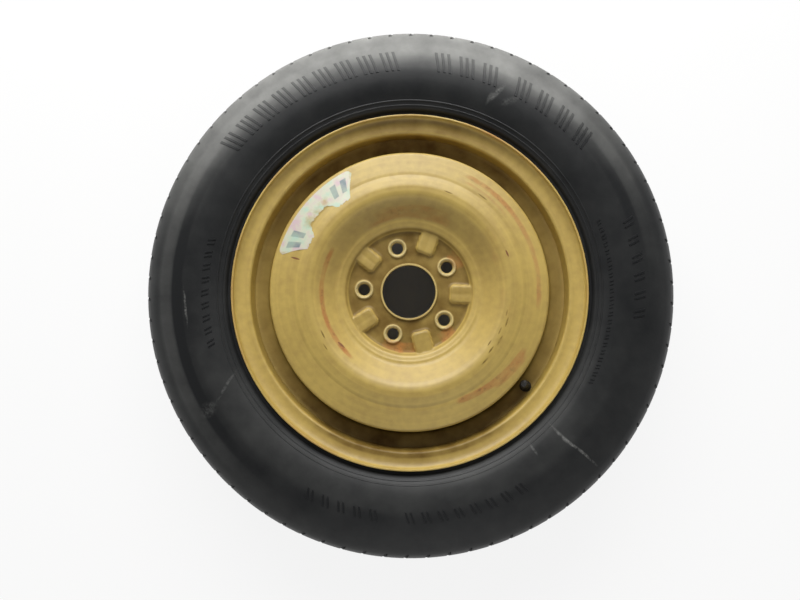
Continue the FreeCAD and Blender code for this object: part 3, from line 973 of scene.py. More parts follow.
def sidewall_bar(inner, outer, angle, width, lean, height):
    """One plain raised bar on the outboard sidewall, with sloped edges, a sunk foot and a lean in degrees."""
    middle = (inner + outer) / 2
    slope = 0.5 * MM
    sunk = -0.4 * MM
    radii = np.array([inner, inner + slope, middle, outer - slope, outer])
    half = math.radians(width) / 2
    angles = np.array([-half, -half + slope / middle, half - slope / middle, half]) + math.radians(angle)
    vertices = []
    for layer in (0, 1):
        for i, radius in enumerate(radii):
            level, outward = sidewall(radius)
            shift = math.radians(lean) * (radius - middle) / (outer - inner)
            for j, turn in enumerate(angles):
                edge = i in (0, len(radii) - 1) or j in (0, len(angles) - 1)
                out, up = outward * (sunk if layer or edge else height)
                vertices.append(on_wheel(radius + out, turn + shift, level + up))
    rows, columns = len(radii), len(angles)
    faces = ring_faces(rows, columns, closed=False) + ring_faces(rows, columns, rows * columns, closed=False)
    return np.array(vertices), faces


def dust_and_painted_light(radius, angle, height):
    """Share of dry dust on the rubber: thick on the upper shoulder, where it also paints the highlight
    that light from above puts there, thin elsewhere, with painted highlight on a ring of the upper
    sidewall and painted shade in a ring just inside it.
    """
    shoulder = 0.3 + 0.7 * ramp(np.abs(height), 26 * MM, 46 * MM)
    # Dust on the upper shoulder, heaped up so that it also paints the highlight there
    dust_and_highlight = 0.66 * around(angle, 96.0, 24.0, 52.0) * ramp(radius, 268 * MM, 302 * MM) * shoulder
    edge = 0.05 * around(angle, 215.0, 60.0, 50.0) * ramp(radius, 286 * MM, 326 * MM)
    bead = 0.05 * around(angle, 316.0, 20.0, 26.0) * window(radius, 224 * MM, 238 * MM, 6 * MM)
    foot = 0.05 * around(angle, 262.0, 45.0, 45.0) * window(radius, 238 * MM, 262 * MM, 14 * MM)
    # Painted highlight on a ring of the upper sidewall and painted shade in a ring just inside it
    ridge = 0.08 * window(radius, 294 * MM, 305 * MM, 5 * MM)
    hollow = 0.04 * window(radius, 281 * MM, 288 * MM, 5 * MM)
    ridge = (ridge - hollow) * around(angle, 120.0, 75.0, 50.0)
    return np.where(height > 0, 0.08 + bead + foot + ridge, 0.1) + dust_and_highlight + edge


class OBJECT_OT_spare_wheel_tyre(bpy.types.Operator):
    """Builds the tyre with its slotted tread, moulded rings and plain raised bars"""

    bl_idname = "object.spare_wheel_tyre"
    bl_label = "Tyre"

    def execute(self, context):
        sizes = context.scene.spare_wheel_sizes
        rubber = finish("Moulded carbon-black rubber", tyre_rubber, sizes, context.scene.spare_wheel_colours)
        tyre = new_piece("tyre_moulding", *tyre_sector(sizes))
        repeat(tyre, sizes.tread_pitches, 360.0 / sizes.tread_pitches, rubber)
        radius, angle, height = places(tyre)
        edge = np.array(shoulder_rows())
        slot = ramp(np.interp(np.abs(height), edge[:, 1], edge[:, 0]) - radius, 0.4 * MM, 1.2 * MM)
        slot = slot * window(np.abs(height), TREAD_EDGE, SHOULDER[1], 1 * MM) * (radius > SHOULDER[0])
        # The slots are kept free of dust, so that their floors read darker: painted shade in the slots
        stain(tyre, "dust", dust_and_painted_light(radius, angle, height) * (1.0 - slot))
        dress(tyre, "wheel", "tyre_rubber", rubber, "tyre")

        # Inner and outer radius in millimetres and first angle of each row of bar groups, then the bars in a
        # group with their step, width and lean, and the groups with their step, all in degrees
        rows = []
        for inner, outer, start, bars, step, width, lean, groups, apart in (
            (271, 297, 93.2, 3, 1.5, 0.8, 1.3, 9, 5.6),
            (271, 297, 67.8, 3, 1.5, 0.8, 1.3, 3, 6.0),
            (271, 297, 40.2, 3, 1.5, 0.8, 1.3, 4, 6.2),
            (243, 248, -27.0, 2, 0.9, 0.4, 0.4, 22, 2.2),
            (272, 286, -6.5, 2, 1.3, 0.65, 0.9, 6, 4.6),
            (245, 254, 165.5, 2, 1.2, 0.6, 0.7, 9, 3.6),
            (266, 279, 243.5, 2, 1.3, 0.65, 0.9, 5, 4.2),
            (266, 279, 269.5, 2, 1.3, 0.65, 0.9, 8, 4.2),
        ):
            bar = sidewall_bar(inner * MM, outer * MM, start, width, lean, sizes.mark_height)
            group = repeat(new_piece("sidewall_marks", *bar), bars, step, rubber)
            rows.append(repeat(group, groups, apart, rubber))
        marks = join(rows)
        marks.name = "sidewall_marks"
        stain(marks, "dust", 0.55 * dust_and_painted_light(*places(marks)))
        dress(marks, "wheel", "tyre_rubber", rubber)
        return {"FINISHED"}


def rim_section():
    """Closed section of the rolled barrel with rounded bends and rolled lips."""
    outboard = [
        (LIP_RADIUS, LIP_END),
        (LIP_RADIUS, FLANGE_FACE),
        (BEAD_SEAT, FLANGE_FACE),
        tuple(SEAT_END),
        tuple(HUMP),
    ]
    inboard = [(r, -h) for r, h in reversed(outboard)]
    path = np.array(outboard + [(WELL_RADIUS, WELL_OUTBOARD), (WELL_RADIUS, WELL_INBOARD)] + inboard)
    bends = [FLANGE_CURL, BEAD_HEEL, 3.0 * MM, 2.6 * MM, 3.0 * MM]
    radii = bends + bends[::-1]
    tyre_side = spaced(rounded(path, radii), 6 * MM)

    # The face of each flange is a wide, shallow hollow with a tight bend into the seat.
    sheet = beside(path, RIM_THICKNESS)
    soft = other_radii(path, radii, RIM_THICKNESS)
    soft[1] = soft[-2] = 3.6 * MM
    sheet[[2, -3], 0] -= 2.5 * MM
    sheet[[3, -4], 0] -= 2.0 * MM
    turns = np.radians(np.arange(10.0, 91.0, 10.0))
    reach = np.array([13.0 * MM, LIP_END - FLANGE_FACE - RIM_THICKNESS])
    hollow = reach * np.column_stack([np.cos(turns) - 1.0, -np.sin(turns)])
    front, rear = sheet[0] + hollow, (sheet[-1] + hollow * (1.0, -1.0))[::-1]
    corners = np.vstack([sheet[:1], front, sheet[2:-2], rear, sheet[-1:]])
    flat = [0] * len(turns)
    inside = spaced(rounded(corners, flat + soft[1:-1] + flat), 6 * MM)
    return np.vstack(
        [
            tyre_side,
            rolled_edge(tyre_side[-1], inside[-1]),
            inside[::-1],
            rolled_edge(inside[0], tyre_side[0]),
        ]
    )


def valve_place():
    """Matrix from the valve's own axis to its place in the rim."""
    seat = on_wheel(VALVE_SEAT_RADIUS, math.radians(VALVE_ANGLE), VALVE_SEAT_HEIGHT)
    turn = Vector((0, 0, 1)).rotation_difference(VALVE_AXIS).to_matrix().to_4x4()
    return Matrix.Translation(Vector(seat)) @ turn


class OBJECT_OT_spare_wheel_rim(bpy.types.Operator):
    """Builds the painted rim barrel with its valve hole"""

    bl_idname = "object.spare_wheel_rim"
    bl_label = "Rim"

    def execute(self, context):
        sizes = context.scene.spare_wheel_sizes
        paint = finish("Mustard enamel on steel", mustard_paint, sizes, context.scene.spare_wheel_colours)
        rim = new_piece("rim_barrel", *revolved(rim_section(), 320))
        hole, reach = VALVE_HOLE_RADIUS / MM, 12.0
        drill_section = np.array([(0, -reach), (hole, -reach), (hole, reach), (0, reach)]) * MM
        drill = new_piece("valve_hole", *revolved(drill_section, 40))
        drill.data.transform(valve_place())
        cut = rim.modifiers.new("Valve hole", "BOOLEAN")
        cut.object = drill
        cut.operation = "DIFFERENCE"
        cut.solver = "EXACT"
        context.view_layer.update()
        mesh = bpy.data.meshes.new_from_object(rim.evaluated_get(context.evaluated_depsgraph_get()))
        rim.modifiers.clear()
        rim.data = mesh
        bpy.data.objects.remove(drill)
        settle(mesh)

        radius, angle, height = places(rim)
        lip = ramp(radius, 214 * MM, 219 * MM) * ramp(height, 50 * MM, 60 * MM)
        # Share that grows towards the top and bottom of the wheel, where the steel is painted darker
        toward_top_and_bottom = np.sin(np.radians(angle)) ** 2
        well = window(radius, 176 * MM, 192 * MM, 5 * MM) * (height > 0)
        damp = around(angle, 318.0, 40.0, 30.0)
        below = 1.0 - ramp(height, 46 * MM, 52 * MM)
        wall = window(radius, 194 * MM, 200 * MM, 2 * MM) * below * (height > 0)
        face = window(radius, 202 * MM, 214 * MM, 3 * MM) * (height > FLANGE_FACE)
        # Painted shade at the bottom of the bead seat
        foot = around(angle, 270.0, 18.0, 26.0) * window(radius, 194 * MM, 203 * MM, 3 * MM) * (height > 0)
        # Painted shade on the upper flange face, which turns away from the light there
        upper = around(angle, 90.0, 70.0, 40.0)
        knocked = 0.15
        knocks = ((183.0, 20.0), (8.0, 14.0), (139.0, 4.0), (50.0, 8.0), (85.0, 22.0), (240.0, 14.0))
        for bearing, spread in knocks:
            knocked = knocked + 0.4 * around(angle, bearing, spread, 10.0)
        stain(rim, "rust", 0.16 * well * damp + knocked * lip)
        # Darker in the well and on the seat wall, the more so towards the top and bottom; darker on the flange
        # face towards the top and bottom, with painted shade on its upper part and at the bottom of the seat;
        # darker on the inboard side
        grime = (
            well * (0.58 + 0.45 * toward_top_and_bottom)
            + wall * (0.1 + 0.9 * toward_top_and_bottom ** 2)
            + (0.7 * toward_top_and_bottom ** 2 + 0.15 * upper) * face
            + 1.1 * foot
            + 0.3 * (height < 0)
        )
        stain(rim, "grime", grime)
        stain(rim, "chip", 0.38 * lip)
        dress(rim, "wheel", "yellow_paint", paint, "rim")
        return {"FINISHED"}


def disc_path():
    """Front of the disc from the hub face to the rear edge of the skirt, and its corner radii."""
    points = np.array(
        [
            (BORE_RADIUS, HUB_FRONT),
            (HUB_FACE_RADIUS, HUB_FRONT),
            (81.5 * MM, HUB_FRONT + 8.0 * MM),
            (93.0 * MM, HUB_FRONT + 11.0 * MM),
            tuple(CROWN_CORNER),
            tuple(BAND_START),
            tuple(DISC_EDGE),
            (SKIRT_RADIUS, 12.0 * MM),
            (SKIRT_RADIUS, SKIRT_END),
        ]
    )
    radii = np.array([5.0, 5.0, 12.0, 22.0, 12.0, 5.0, 12.0]) * MM
    return points, radii


def disc_front():
    """Front of the disc's sheet, from the bore to the skirt."""
    points, radii = disc_path()
    return rounded(points, radii, math.radians(7.0))


def disc_back():
    """Back of the disc's sheet, from the bore to the skirt."""
    points, radii = disc_path()
    bends = other_radii(points, radii, DISC_THICKNESS)
    return rounded(beside(points, DISC_THICKNESS), bends, math.radians(9.0))


def pad_rise(radius, angle, inset, height):
    """Height of the pads pressed half-way between the studs, at places given by angle from a stud."""
    off_axis = math.pi / STUD_COUNT - np.abs(angle)
    aside = radius * np.sin(off_axis)
    along = radius * np.cos(off_axis)
    corner = PAD_CORNER - inset
    past_side = np.maximum(aside - PAD_HALF_WIDTH + PAD_CORNER, 0.0)
    past_end = np.maximum(PAD_INNER + PAD_CORNER - along, 0.0)
    crease = 0.4 * MM * np.exp(-((aside / (2.4 * MM)) ** 2))
    return (height - crease) * ramp(corner - np.hypot(past_side, past_end), 0.0, PAD_DRAFT)


def pressed(radius):
    """Fine lines that the die left in the front of the disc: a ridge on the ledge and shallow grooves on the
    band."""
    # Radius, half width and height of each, in millimetres
    lines = ((88.0, 1.3, 0.5), (126.5, 2.2, -0.25), (143.5, 2.2, -0.4))
    return sum(tall * MM * np.exp(-(((radius / MM - middle) / wide) ** 2)) for middle, wide, tall in lines)


def fillet(first, second, blend):
    """Height of a soft fillet where two heights meet."""
    return np.maximum(blend - np.abs(first - second), 0.0) ** 2 / (4 * blend)


def hub_front_height(radius, angle):
    """Front of the hub at places given by radius and angle from a stud."""
    front = disc_front()
    sheet = np.interp(radius, front[:, 0], front[:, 1]) + pressed(radius)
    pad = HUB_FRONT + pad_rise(radius, angle, 0.0, PAD_HEIGHT)
    return np.maximum(sheet, pad) + fillet(sheet, pad, 1.4 * MM) * (pad > HUB_FRONT)


def hub_back_height(radius, angle):
    """Back of the hub, hollow behind the pads."""
    back = disc_back()
    sheet = np.interp(radius, back[:, 0], back[:, 1])
    return np.maximum(sheet, HUB_OFFSET + pad_rise(radius, angle, DISC_THICKNESS, PAD_HEIGHT))


def boss_rise(distance):
    """Rounded seat raised round a stud hole and the cone inside it, by distance from the stud."""
    seat = BOSS_HEIGHT * (1.0 - ramp(distance, BOSS_RADIUS, BOSS_BASE))
    cone = BOSS_HEIGHT - (NUT_SEAT_RADIUS - distance) / math.tan(math.radians(30.0))
    return np.minimum(seat, cone) - fillet(seat, cone, 0.8 * MM)


def disc_sector():
    """The disc's share of one stud, centred on it: rows along the closed sheet, with the stud's hole let into
    both faces."""
    half_columns = 30
    block = 14
    spacing = 1.2 * MM
    half = math.pi / STUD_COUNT
    angles = np.linspace(-half, half, 2 * half_columns + 1)
    hub = STUD_RADIUS + np.arange(-block, 2 * block + 1) * spacing
    ends = hub[-1] + spacing / 2

    lip = HUB_FRONT + BORE_LIP_HEIGHT
    rim = BORE_RADIUS + BORE_LIP_WIDTH
    round_off = 0.5 * MM
    bore = [
        (BORE_RADIUS, HUB_OFFSET + round_off),
        (BORE_RADIUS, lip - round_off),
        (BORE_RADIUS + round_off, lip),
        (rim - round_off, lip),
        (rim, lip - round_off),
        (rim, HUB_FRONT + 1.2 * MM),
        (rim + 1.2 * MM, HUB_FRONT),
    ]
    front = spaced(disc_front(), 1.6 * MM)
    back = spaced(disc_back(), 7 * MM)
    outer = [(r, h + pressed(r)) for r, h in front if r > ends]
    skirt = rolled_edge(front[-1], back[-1], 2)
    inner = [p for p in back[::-1] if p[0] > ends]

    rows = [on_wheel(r, angles, h) for r, h in bore]
    front_first = len(rows)
    rows += [on_wheel(r, angles, hub_front_height(r, angles)) for r in hub]
    rows += [on_wheel(r, angles, h) for r, h in outer + list(skirt) + inner]
    back_first = len(rows)
    rows += [on_wheel(r, angles, hub_back_height(r, angles)) for r in hub[::-1]]
    rows.append(on_wheel(BORE_RADIUS + round_off, angles, HUB_OFFSET))
    rows.append(rows[0])
    vertices = [p for row in rows for p in row]

    columns = len(angles)
    left, right = half_columns - block, half_columns + block
    front_block = (front_first, front_first + 2 * block)
    back_block = (back_first + block, back_first + 3 * block)
    faces = []
    for i in range(len(rows) - 1):
        for j in range(columns - 1):
            if left <= j < right and any(low <= i < high for low, high in (front_block, back_block)):
                continue
            k = i * columns + j
            faces.append([k, k + 1, k + columns + 1, k + columns])

    edges = []
    for low, high in (front_block, back_block):
        around_block = [(low, j) for j in range(left, right)]
        around_block += [(i, right) for i in range(low, high)]
        around_block += [(high, j) for j in range(right, left, -1)]
        around_block += [(i, left) for i in range(high, low, -1)]
        edges.append([i * columns + j for i, j in around_block])
    front_rings = np.array([14.8, 13.4, 12.8, 12.2, 11.6, 11.0, 10.5, 10.0, 9.6, 9.2, 8.8, 8.0]) * MM
    back_rings = np.array([15.0, 10.0]) * MM
    last = []
    for edge, rings, level, risen in (
        (edges[0], front_rings, HUB_FRONT, True),
        (edges[1], back_rings, HUB_OFFSET, False),
    ):
        outline = np.array([vertices[k] for k in edge])
        bearing = np.arctan2(outline[:, 1], outline[:, 0] - STUD_RADIUS)
        previous = edge
        for ring in (*rings, STUD_HOLE_RADIUS):
            height = level + (boss_rise(np.array(ring)) if risen else 0.0)
            first = len(vertices)
            for b in bearing:
                x, y = STUD_RADIUS + ring * math.cos(b), ring * math.sin(b)
                vertices.append(np.array([x, y, float(height)]))
            current = list(range(first, first + len(edge)))
            for a in range(len(edge)):
                b = (a + 1) % len(edge)
                faces.append([previous[a], previous[b], current[b], current[a]])
            previous = current
        last.append((previous, bearing))

    # The wall of the stud's hole joins each place of the front ring to the nearest one behind it.
    (front_ring, front_bearing), (back_ring, back_bearing) = last
    behind = []
    for bearing in front_bearing:
        away = np.abs(np.angle(np.exp(1j * (back_bearing - bearing))))
        behind.append(back_ring[int(np.argmin(away))])
    for a in range(len(front_ring)):
        b = (a + 1) % len(front_ring)
        faces.append([front_ring[a], front_ring[b], behind[b], behind[a]])

    turn = math.radians(STUD_PHASE)
    vertices = np.array(vertices)
    x, y = vertices[:, 0].copy(), vertices[:, 1].copy()
    vertices[:, 0] = x * math.cos(turn) - y * math.sin(turn)
    vertices[:, 1] = x * math.sin(turn) + y * math.cos(turn)
    return vertices, faces


class OBJECT_OT_spare_wheel_disc(bpy.types.Operator):
    """Builds the pressed disc with its pads, coned stud holes, bowl, crown and skirt"""

    bl_idname = "object.spare_wheel_disc"
    bl_label = "Disc"

    def execute(self, context):
        sizes = context.scene.spare_wheel_sizes
        paint = finish("Mustard enamel on steel", mustard_paint, sizes, context.scene.spare_wheel_colours)
        disc = new_piece("disc_pressing", *disc_sector())
        repeat(disc, STUD_COUNT, 360.0 / STUD_COUNT, paint)

        radius, angle, height = places(disc)
        slanted = (147.0 + 0.29 * (angle + 66.0)) * MM
        rust = (
            0.9 * around(angle, 28.0, 30.0, 12.0) * window(radius, 158 * MM, 161 * MM, 4 * MM)
            + 0.75 * around(angle, 50.0, 9.0, 8.0) * window(radius, 151 * MM, 152 * MM, 3 * MM)
            + 1.2 * around(angle, -47.0, 16.0, 8.0) * window(radius - slanted, -2 * MM, 2 * MM, 4 * MM)
            + 0.9 * around(angle, -39.0, 7.0, 6.0) * window(radius - slanted, 6 * MM, 7 * MM, 4 * MM)
            + 0.9 * around(angle, 191.0, 32.0, 14.0) * window(radius, 107 * MM, 109 * MM, 2.5 * MM)
            + 0.35 * around(angle, 190.0, 30.0, 20.0) * window(radius, 101 * MM, 111 * MM, 6 * MM)
            + 0.6 * around(angle, 91.0, 26.0, 16.0) * window(radius, 95 * MM, 105 * MM, 7 * MM)
            + 0.4 * around(angle, 15.0, 30.0, 20.0) * window(radius, 110 * MM, 124 * MM, 8 * MM)
        )
        for bearing in (34.0, -48.0, 252.0, 268.0):
            rust = rust + 0.8 * around(angle, bearing, 6.0, 8.0) * window(radius, 66 * MM, 76 * MM, 4 * MM)
        # Share that grows towards the top and bottom of the wheel
        toward_top_and_bottom = np.sin(np.radians(angle)) ** 2
        low = 1.0 - ramp(height, HUB_FRONT + 0.8 * MM, HUB_FRONT + 2.6 * MM)
        # Darker in the hub's low places, the more so towards the top and bottom, and on the pads' tops; painted
        # shade on the top of the bowl; darker along the two pressed lines of the band and on the skirt
        grime = (
            (1.05 + 0.35 * toward_top_and_bottom) * low * (radius < 84 * MM)
            + 0.4 * ramp(height, HUB_FRONT + 2.8 * MM, HUB_FRONT + 4.0 * MM) * (radius < 80 * MM)
            # Painted shade on the top of the bowl, whose wall turns away from the light there
            + 0.3 * around(angle, 90.0, 60.0, 40.0) * window(radius, 80 * MM, 108 * MM, 8 * MM)
            + 0.25 * window(radius, 119 * MM, 127 * MM, 4 * MM)
            + 0.2 * window(radius, 141 * MM, 146 * MM, 4 * MM)
            + 0.9 * ramp(radius, 173 * MM, 177 * MM)
        )
        half_step = 180.0 / STUD_COUNT
        off_stud = np.radians((angle - STUD_PHASE + half_step) % (2 * half_step) - half_step)
        from_stud = np.hypot(radius * np.cos(off_stud) - STUD_RADIUS, radius * np.sin(off_stud))
        seats = 1.0 - ramp(from_stud, BOSS_RADIUS, BOSS_BASE)
        lip = (radius < BORE_RADIUS + BORE_LIP_WIDTH + 0.2 * MM) * (height > HUB_FRONT + 1.0 * MM)
        stain(disc, "rub", np.maximum(0.45 * seats, 0.2 * lip) * (height > HUB_FRONT - 1.0 * MM))
        grime = grime * (1.0 - seats)
        stain(disc, "rust", rust)
        stain(disc, "grime", np.where(height > SKIRT_END / 2, grime, 0.5))
        dress(disc, "wheel", "yellow_paint", paint, "disc")
        return {"FINISHED"}


class OBJECT_OT_spare_wheel_welds(bpy.types.Operator):
    """Builds the rippled weld beads behind the disc's skirt"""

    bl_idname = "object.spare_wheel_welds"
    bl_label = "Weld beads"

    def execute(self, context):
        sizes = context.scene.spare_wheel_sizes
        paint = finish("Mustard enamel on steel", mustard_paint, sizes, context.scene.spare_wheel_colours)
        bead_count = 4
        sweep = 50.0
        inset = 1.3 * MM
        thickness = 3.0 * MM
        work = bmesh.new()
        bmesh.ops.create_uvsphere(work, u_segments=10, v_segments=6, radius=1.0)
        shape = Matrix.Diagonal((thickness, sizes.weld_ripple, thickness, 1.0))
        bmesh.ops.transform(work, matrix=shape, verts=work.verts)
        place = Matrix.Translation((SKIRT_RADIUS - inset, 0.0, SKIRT_END - inset))
        bmesh.ops.transform(work, matrix=place, verts=work.verts)
        mesh = bpy.data.meshes.new("weld_beads")
        work.to_mesh(mesh)
        work.free()
        welds = bpy.data.objects.new("weld_beads", mesh)
        context.scene.collection.objects.link(welds)
        ripples = round(math.radians(sweep) * SKIRT_RADIUS / sizes.weld_ripple)
        repeat(welds, ripples, sweep / ripples, paint)
        repeat(welds, bead_count, 360.0 / bead_count, paint)
        stain(welds, "rust", np.full(len(welds.data.vertices), 0.6))
        stain(welds, "grime", np.full(len(welds.data.vertices), 0.5))
        dress(welds, "wheel", "yellow_paint", paint, "disc_welds")
        return {"FINISHED"}


class OBJECT_OT_spare_wheel_label(bpy.types.Operator):
    """Lays the worn film label over the disc's outer band"""

    bl_idname = "object.spare_wheel_label"
    bl_label = "Label"

    def execute(self, context):
        film = finish("Metallised polyester film", label_film, context.scene.spare_wheel_colours)
        front = disc_front()
        crown = int(np.argmax(front[:, 1]))
        rows, columns = 26, 97
        shares = np.linspace(0.0, 1.0, columns)
        ragged = np.sin(shares * 71.0) + np.sin(shares * 133.0 + 1.0) + 0.6 * np.sin(shares * 291.0)
        fray = 0.5 * MM * ragged
        worn = 12.0 * MM * window(shares, 0.36, 0.64, 0.14)
        corner = 7.0 * MM
        glue = 0.05 * MM
        taper = 0.22
        to_end = (0.5 - np.abs(shares - 0.5)) * math.radians(LABEL_END - LABEL_START) * LABEL_OUTER
        cut = corner - np.sqrt(corner ** 2 - np.clip(corner - to_end, 0.0, 0.98 * corner) ** 2)
        outer = LABEL_OUTER - cut
        inner = LABEL_INNER + fray + worn + cut
        vertices, film_places = [], []
        for layer in (LABEL_HEIGHT, glue):
            for i in range(rows):
                across = i / (rows - 1)
                radius = outer + (inner - outer) * across
                height = np.interp(radius, front[crown:, 0], front[crown:, 1]) + layer
                span = (LABEL_END - LABEL_START) * (1.0 - taper * across)
                angles = np.radians((LABEL_START + LABEL_END) / 2 + span * (shares - 0.5))
                vertices += list(on_wheel(radius, angles, height))
                film_places += list(zip(shares, (LABEL_OUTER - radius) / (LABEL_OUTER - LABEL_INNER)))
        count = rows * columns
        faces = ring_faces(rows, columns, closed=False) + ring_faces(rows, columns, count, closed=False)
        index = np.arange(count).reshape(rows, columns)
        border = np.concatenate([index[0, :-1], index[:-1, -1], index[-1, :0:-1], index[:0:-1, 0]])
        for a, b in zip(border, np.roll(border, -1)):
            faces.append([int(a), int(b), int(b) + count, int(a) + count])
        label = new_piece("label_film", vertices, faces)
        layer = label.data.uv_layers.new(name="film")
        for loop in label.data.loops:
            layer.data[loop.index].uv = film_places[loop.vertex_index]
        share, across = np.array(film_places).T
        wear = 0.5 * window(share, 0.34, 0.66, 0.1) * ramp(across, 0.1, 0.5) + 0.3 * ramp(across, 0.85, 1.0)
        ends = 0.5 * ramp(np.abs(share - 0.5), 0.47, 0.5)
        stain(label, "wear", 0.3 + wear + ends)
        dress(label, "wheel", "label_film", film, "label")
        return {"FINISHED"}


def on_valve(name, section, count=48):
    """Turned piece on the valve's axis, from a section in its own radii and heights."""
    piece = new_piece(name, *revolved(np.array(section), count))
    piece.data.transform(valve_place())
    return piece


class OBJECT_OT_spare_wheel_valve(bpy.types.Operator):
    """Builds the valve's rubber body, threaded stem, ridged cap and spring, and finishes its core"""

    bl_idname = "object.spare_wheel_valve"
    bl_label = "Valve"

    def execute(self, context):
        sizes = context.scene.spare_wheel_sizes
        colours = context.scene.spare_wheel_colours
        rubber = finish("Black valve rubber", black_moulding, "Black valve rubber", colours, 0.6, 1.2 * MM)
        plastic = finish(
            "Black moulded nylon", black_moulding, "Black moulded nylon", colours, 0.42, 0.8 * MM
        )
        brass = finish("Turned brass", turned_brass, colours)
        steel = finish("Drawn spring steel", spring_wire, colours)

        gap = 0.05 * MM
        bore = STEM_RADIUS + gap
        inside = -RIM_THICKNESS - gap
        bottom = inside - 3.4 * MM
        root = THREAD_RADIUS - 0.4 * MM
        corners = [
            (bore, bottom),
            (5.4 * MM, bottom),
            (7.8 * MM, inside - 1.7 * MM),
            (7.8 * MM, inside),
            (VALVE_HOLE_RADIUS - gap, inside),
            (VALVE_HOLE_RADIUS - gap, gap),
            (7.2 * MM, gap),
            (7.2 * MM, 2.0 * MM),
            (5.4 * MM, 4.6 * MM),
            (4.6 * MM, RUBBER_TOP),
            (bore, RUBBER_TOP),
        ]
        soft = [0.6 * MM, 0.8 * MM, 0.5 * MM, 0, 0, 0.4 * MM, 0.8 * MM, 1.2 * MM, 0.6 * MM]
        body = on_valve("valve_rubber", rounded(corners, soft))
        dress(body, "wheel", "valve_rubber", rubber, "valve_body")

        thread = []
        start = RUBBER_TOP + gap
        turns = int((STEM_TOP - start - 1.0 * MM) / THREAD_PITCH)
        for i in range(turns):
            base = start + 0.6 * MM + i * THREAD_PITCH
            thread += [(root, base), (THREAD_RADIUS, base + THREAD_PITCH / 2)]
        stem_section = [(STEM_AIR_RADIUS, bottom), (STEM_RADIUS, bottom), (STEM_RADIUS, start)]
        stem_section += [(root, start)] + thread
        stem_section += [
            (root, STEM_TOP - 0.2 * MM),
            (THREAD_RADIUS - 0.6 * MM, STEM_TOP),
            (CORE_RADIUS, STEM_TOP),
            (CORE_RADIUS, CORE_SEAT),
            (STEM_AIR_RADIUS, CORE_SEAT),
        ]
        stem = on_valve("valve_stem_brass", stem_section)
        dress(stem, "wheel", "brass", brass, "valve_stem")

        cap_bore = THREAD_RADIUS + 0.1 * MM
        wall = CAP_RADIUS - 0.5 * MM
        shell_corners = [
            (cap_bore, CAP_BOTTOM),
            (wall, CAP_BOTTOM),
            (wall, CAP_TOP - CAP_ROOF),
            (wall - 0.7 * MM, CAP_TOP),
            (0.0, CAP_TOP),
            (0.0, CAP_TOP - CAP_ROOF),
            (cap_bore, CAP_TOP - CAP_ROOF),
        ]
        bends = [0.2 * MM, 0.6 * MM, 0.5 * MM, 0, 0]
        shell = new_piece("valve_cap_shell", *revolved(rounded(shell_corners, bends), 54))
        half = math.radians(360.0 / sizes.cap_ridges * 0.28)
        foot, top = CAP_BOTTOM + 0.6 * MM, CAP_TOP - CAP_ROOF - 0.3 * MM
        sunk = wall - 0.15 * MM
        slope = 0.3 * MM
        ridge = []
        for level, inset in ((foot, slope), (top, -slope)):
            ridge += [
                on_wheel(sunk, -half, level),
                on_wheel(CAP_RADIUS, -half / 2, level + inset),
                on_wheel(CAP_RADIUS, half / 2, level + inset),
                on_wheel(sunk, half, level),
            ]
        ridge_faces = [[0, 1, 5, 4], [1, 2, 6, 5], [2, 3, 7, 6], [3, 0, 4, 7], [0, 3, 2, 1], [4, 5, 6, 7]]
        ridges = new_piece("ridges", ridge, ridge_faces)
        repeat(ridges, sizes.cap_ridges, 360.0 / sizes.cap_ridges, plastic)
        cap = join([shell, ridges])
        cap.data.transform(valve_place())
        dress(cap, "cap", "cap_plastic", plastic, "valve_cap")

        # The spring is pressed together under the pin's head.
        low, high = SPRING_FLOOR + SPRING_WIRE, PIN_HEAD - SPRING_WIRE
        spring = new_piece("core_spring_coil", *coil(SPRING_RADIUS, SPRING_WIRE, low, high, SPRING_TURNS))
        spring.data.transform(valve_place())
        dress(spring, "wheel", "spring_steel", steel, "core_spring")
        seat = valve_place() @ Vector((0, 0, SPRING_FLOOR))
        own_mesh(spring)

        for node, material in (
            ("core_plug", brass),
            ("core_pin", brass),
            ("core_seal", rubber),
            ("cap_seal", rubber),
        ):
            frame["nodes"][node].data.materials.clear()
            frame["nodes"][node].data.materials.append(material)
        return {"FINISHED"}


def seen_directly(tree):
    """1 for what the camera, a reflection or a clear piece looks at, and 0 for light that only bounces."""
    path = add(tree, "ShaderNodeLightPath").outputs
    seen = add(
        tree, "ShaderNodeMath", {0: path["Is Camera Ray"], 1: path["Is Glossy Ray"]}, operation="MAXIMUM"
    )
    return add(tree, "ShaderNodeMath", {0: seen, 1: path["Is Transmission Ray"]}, operation="MAXIMUM")


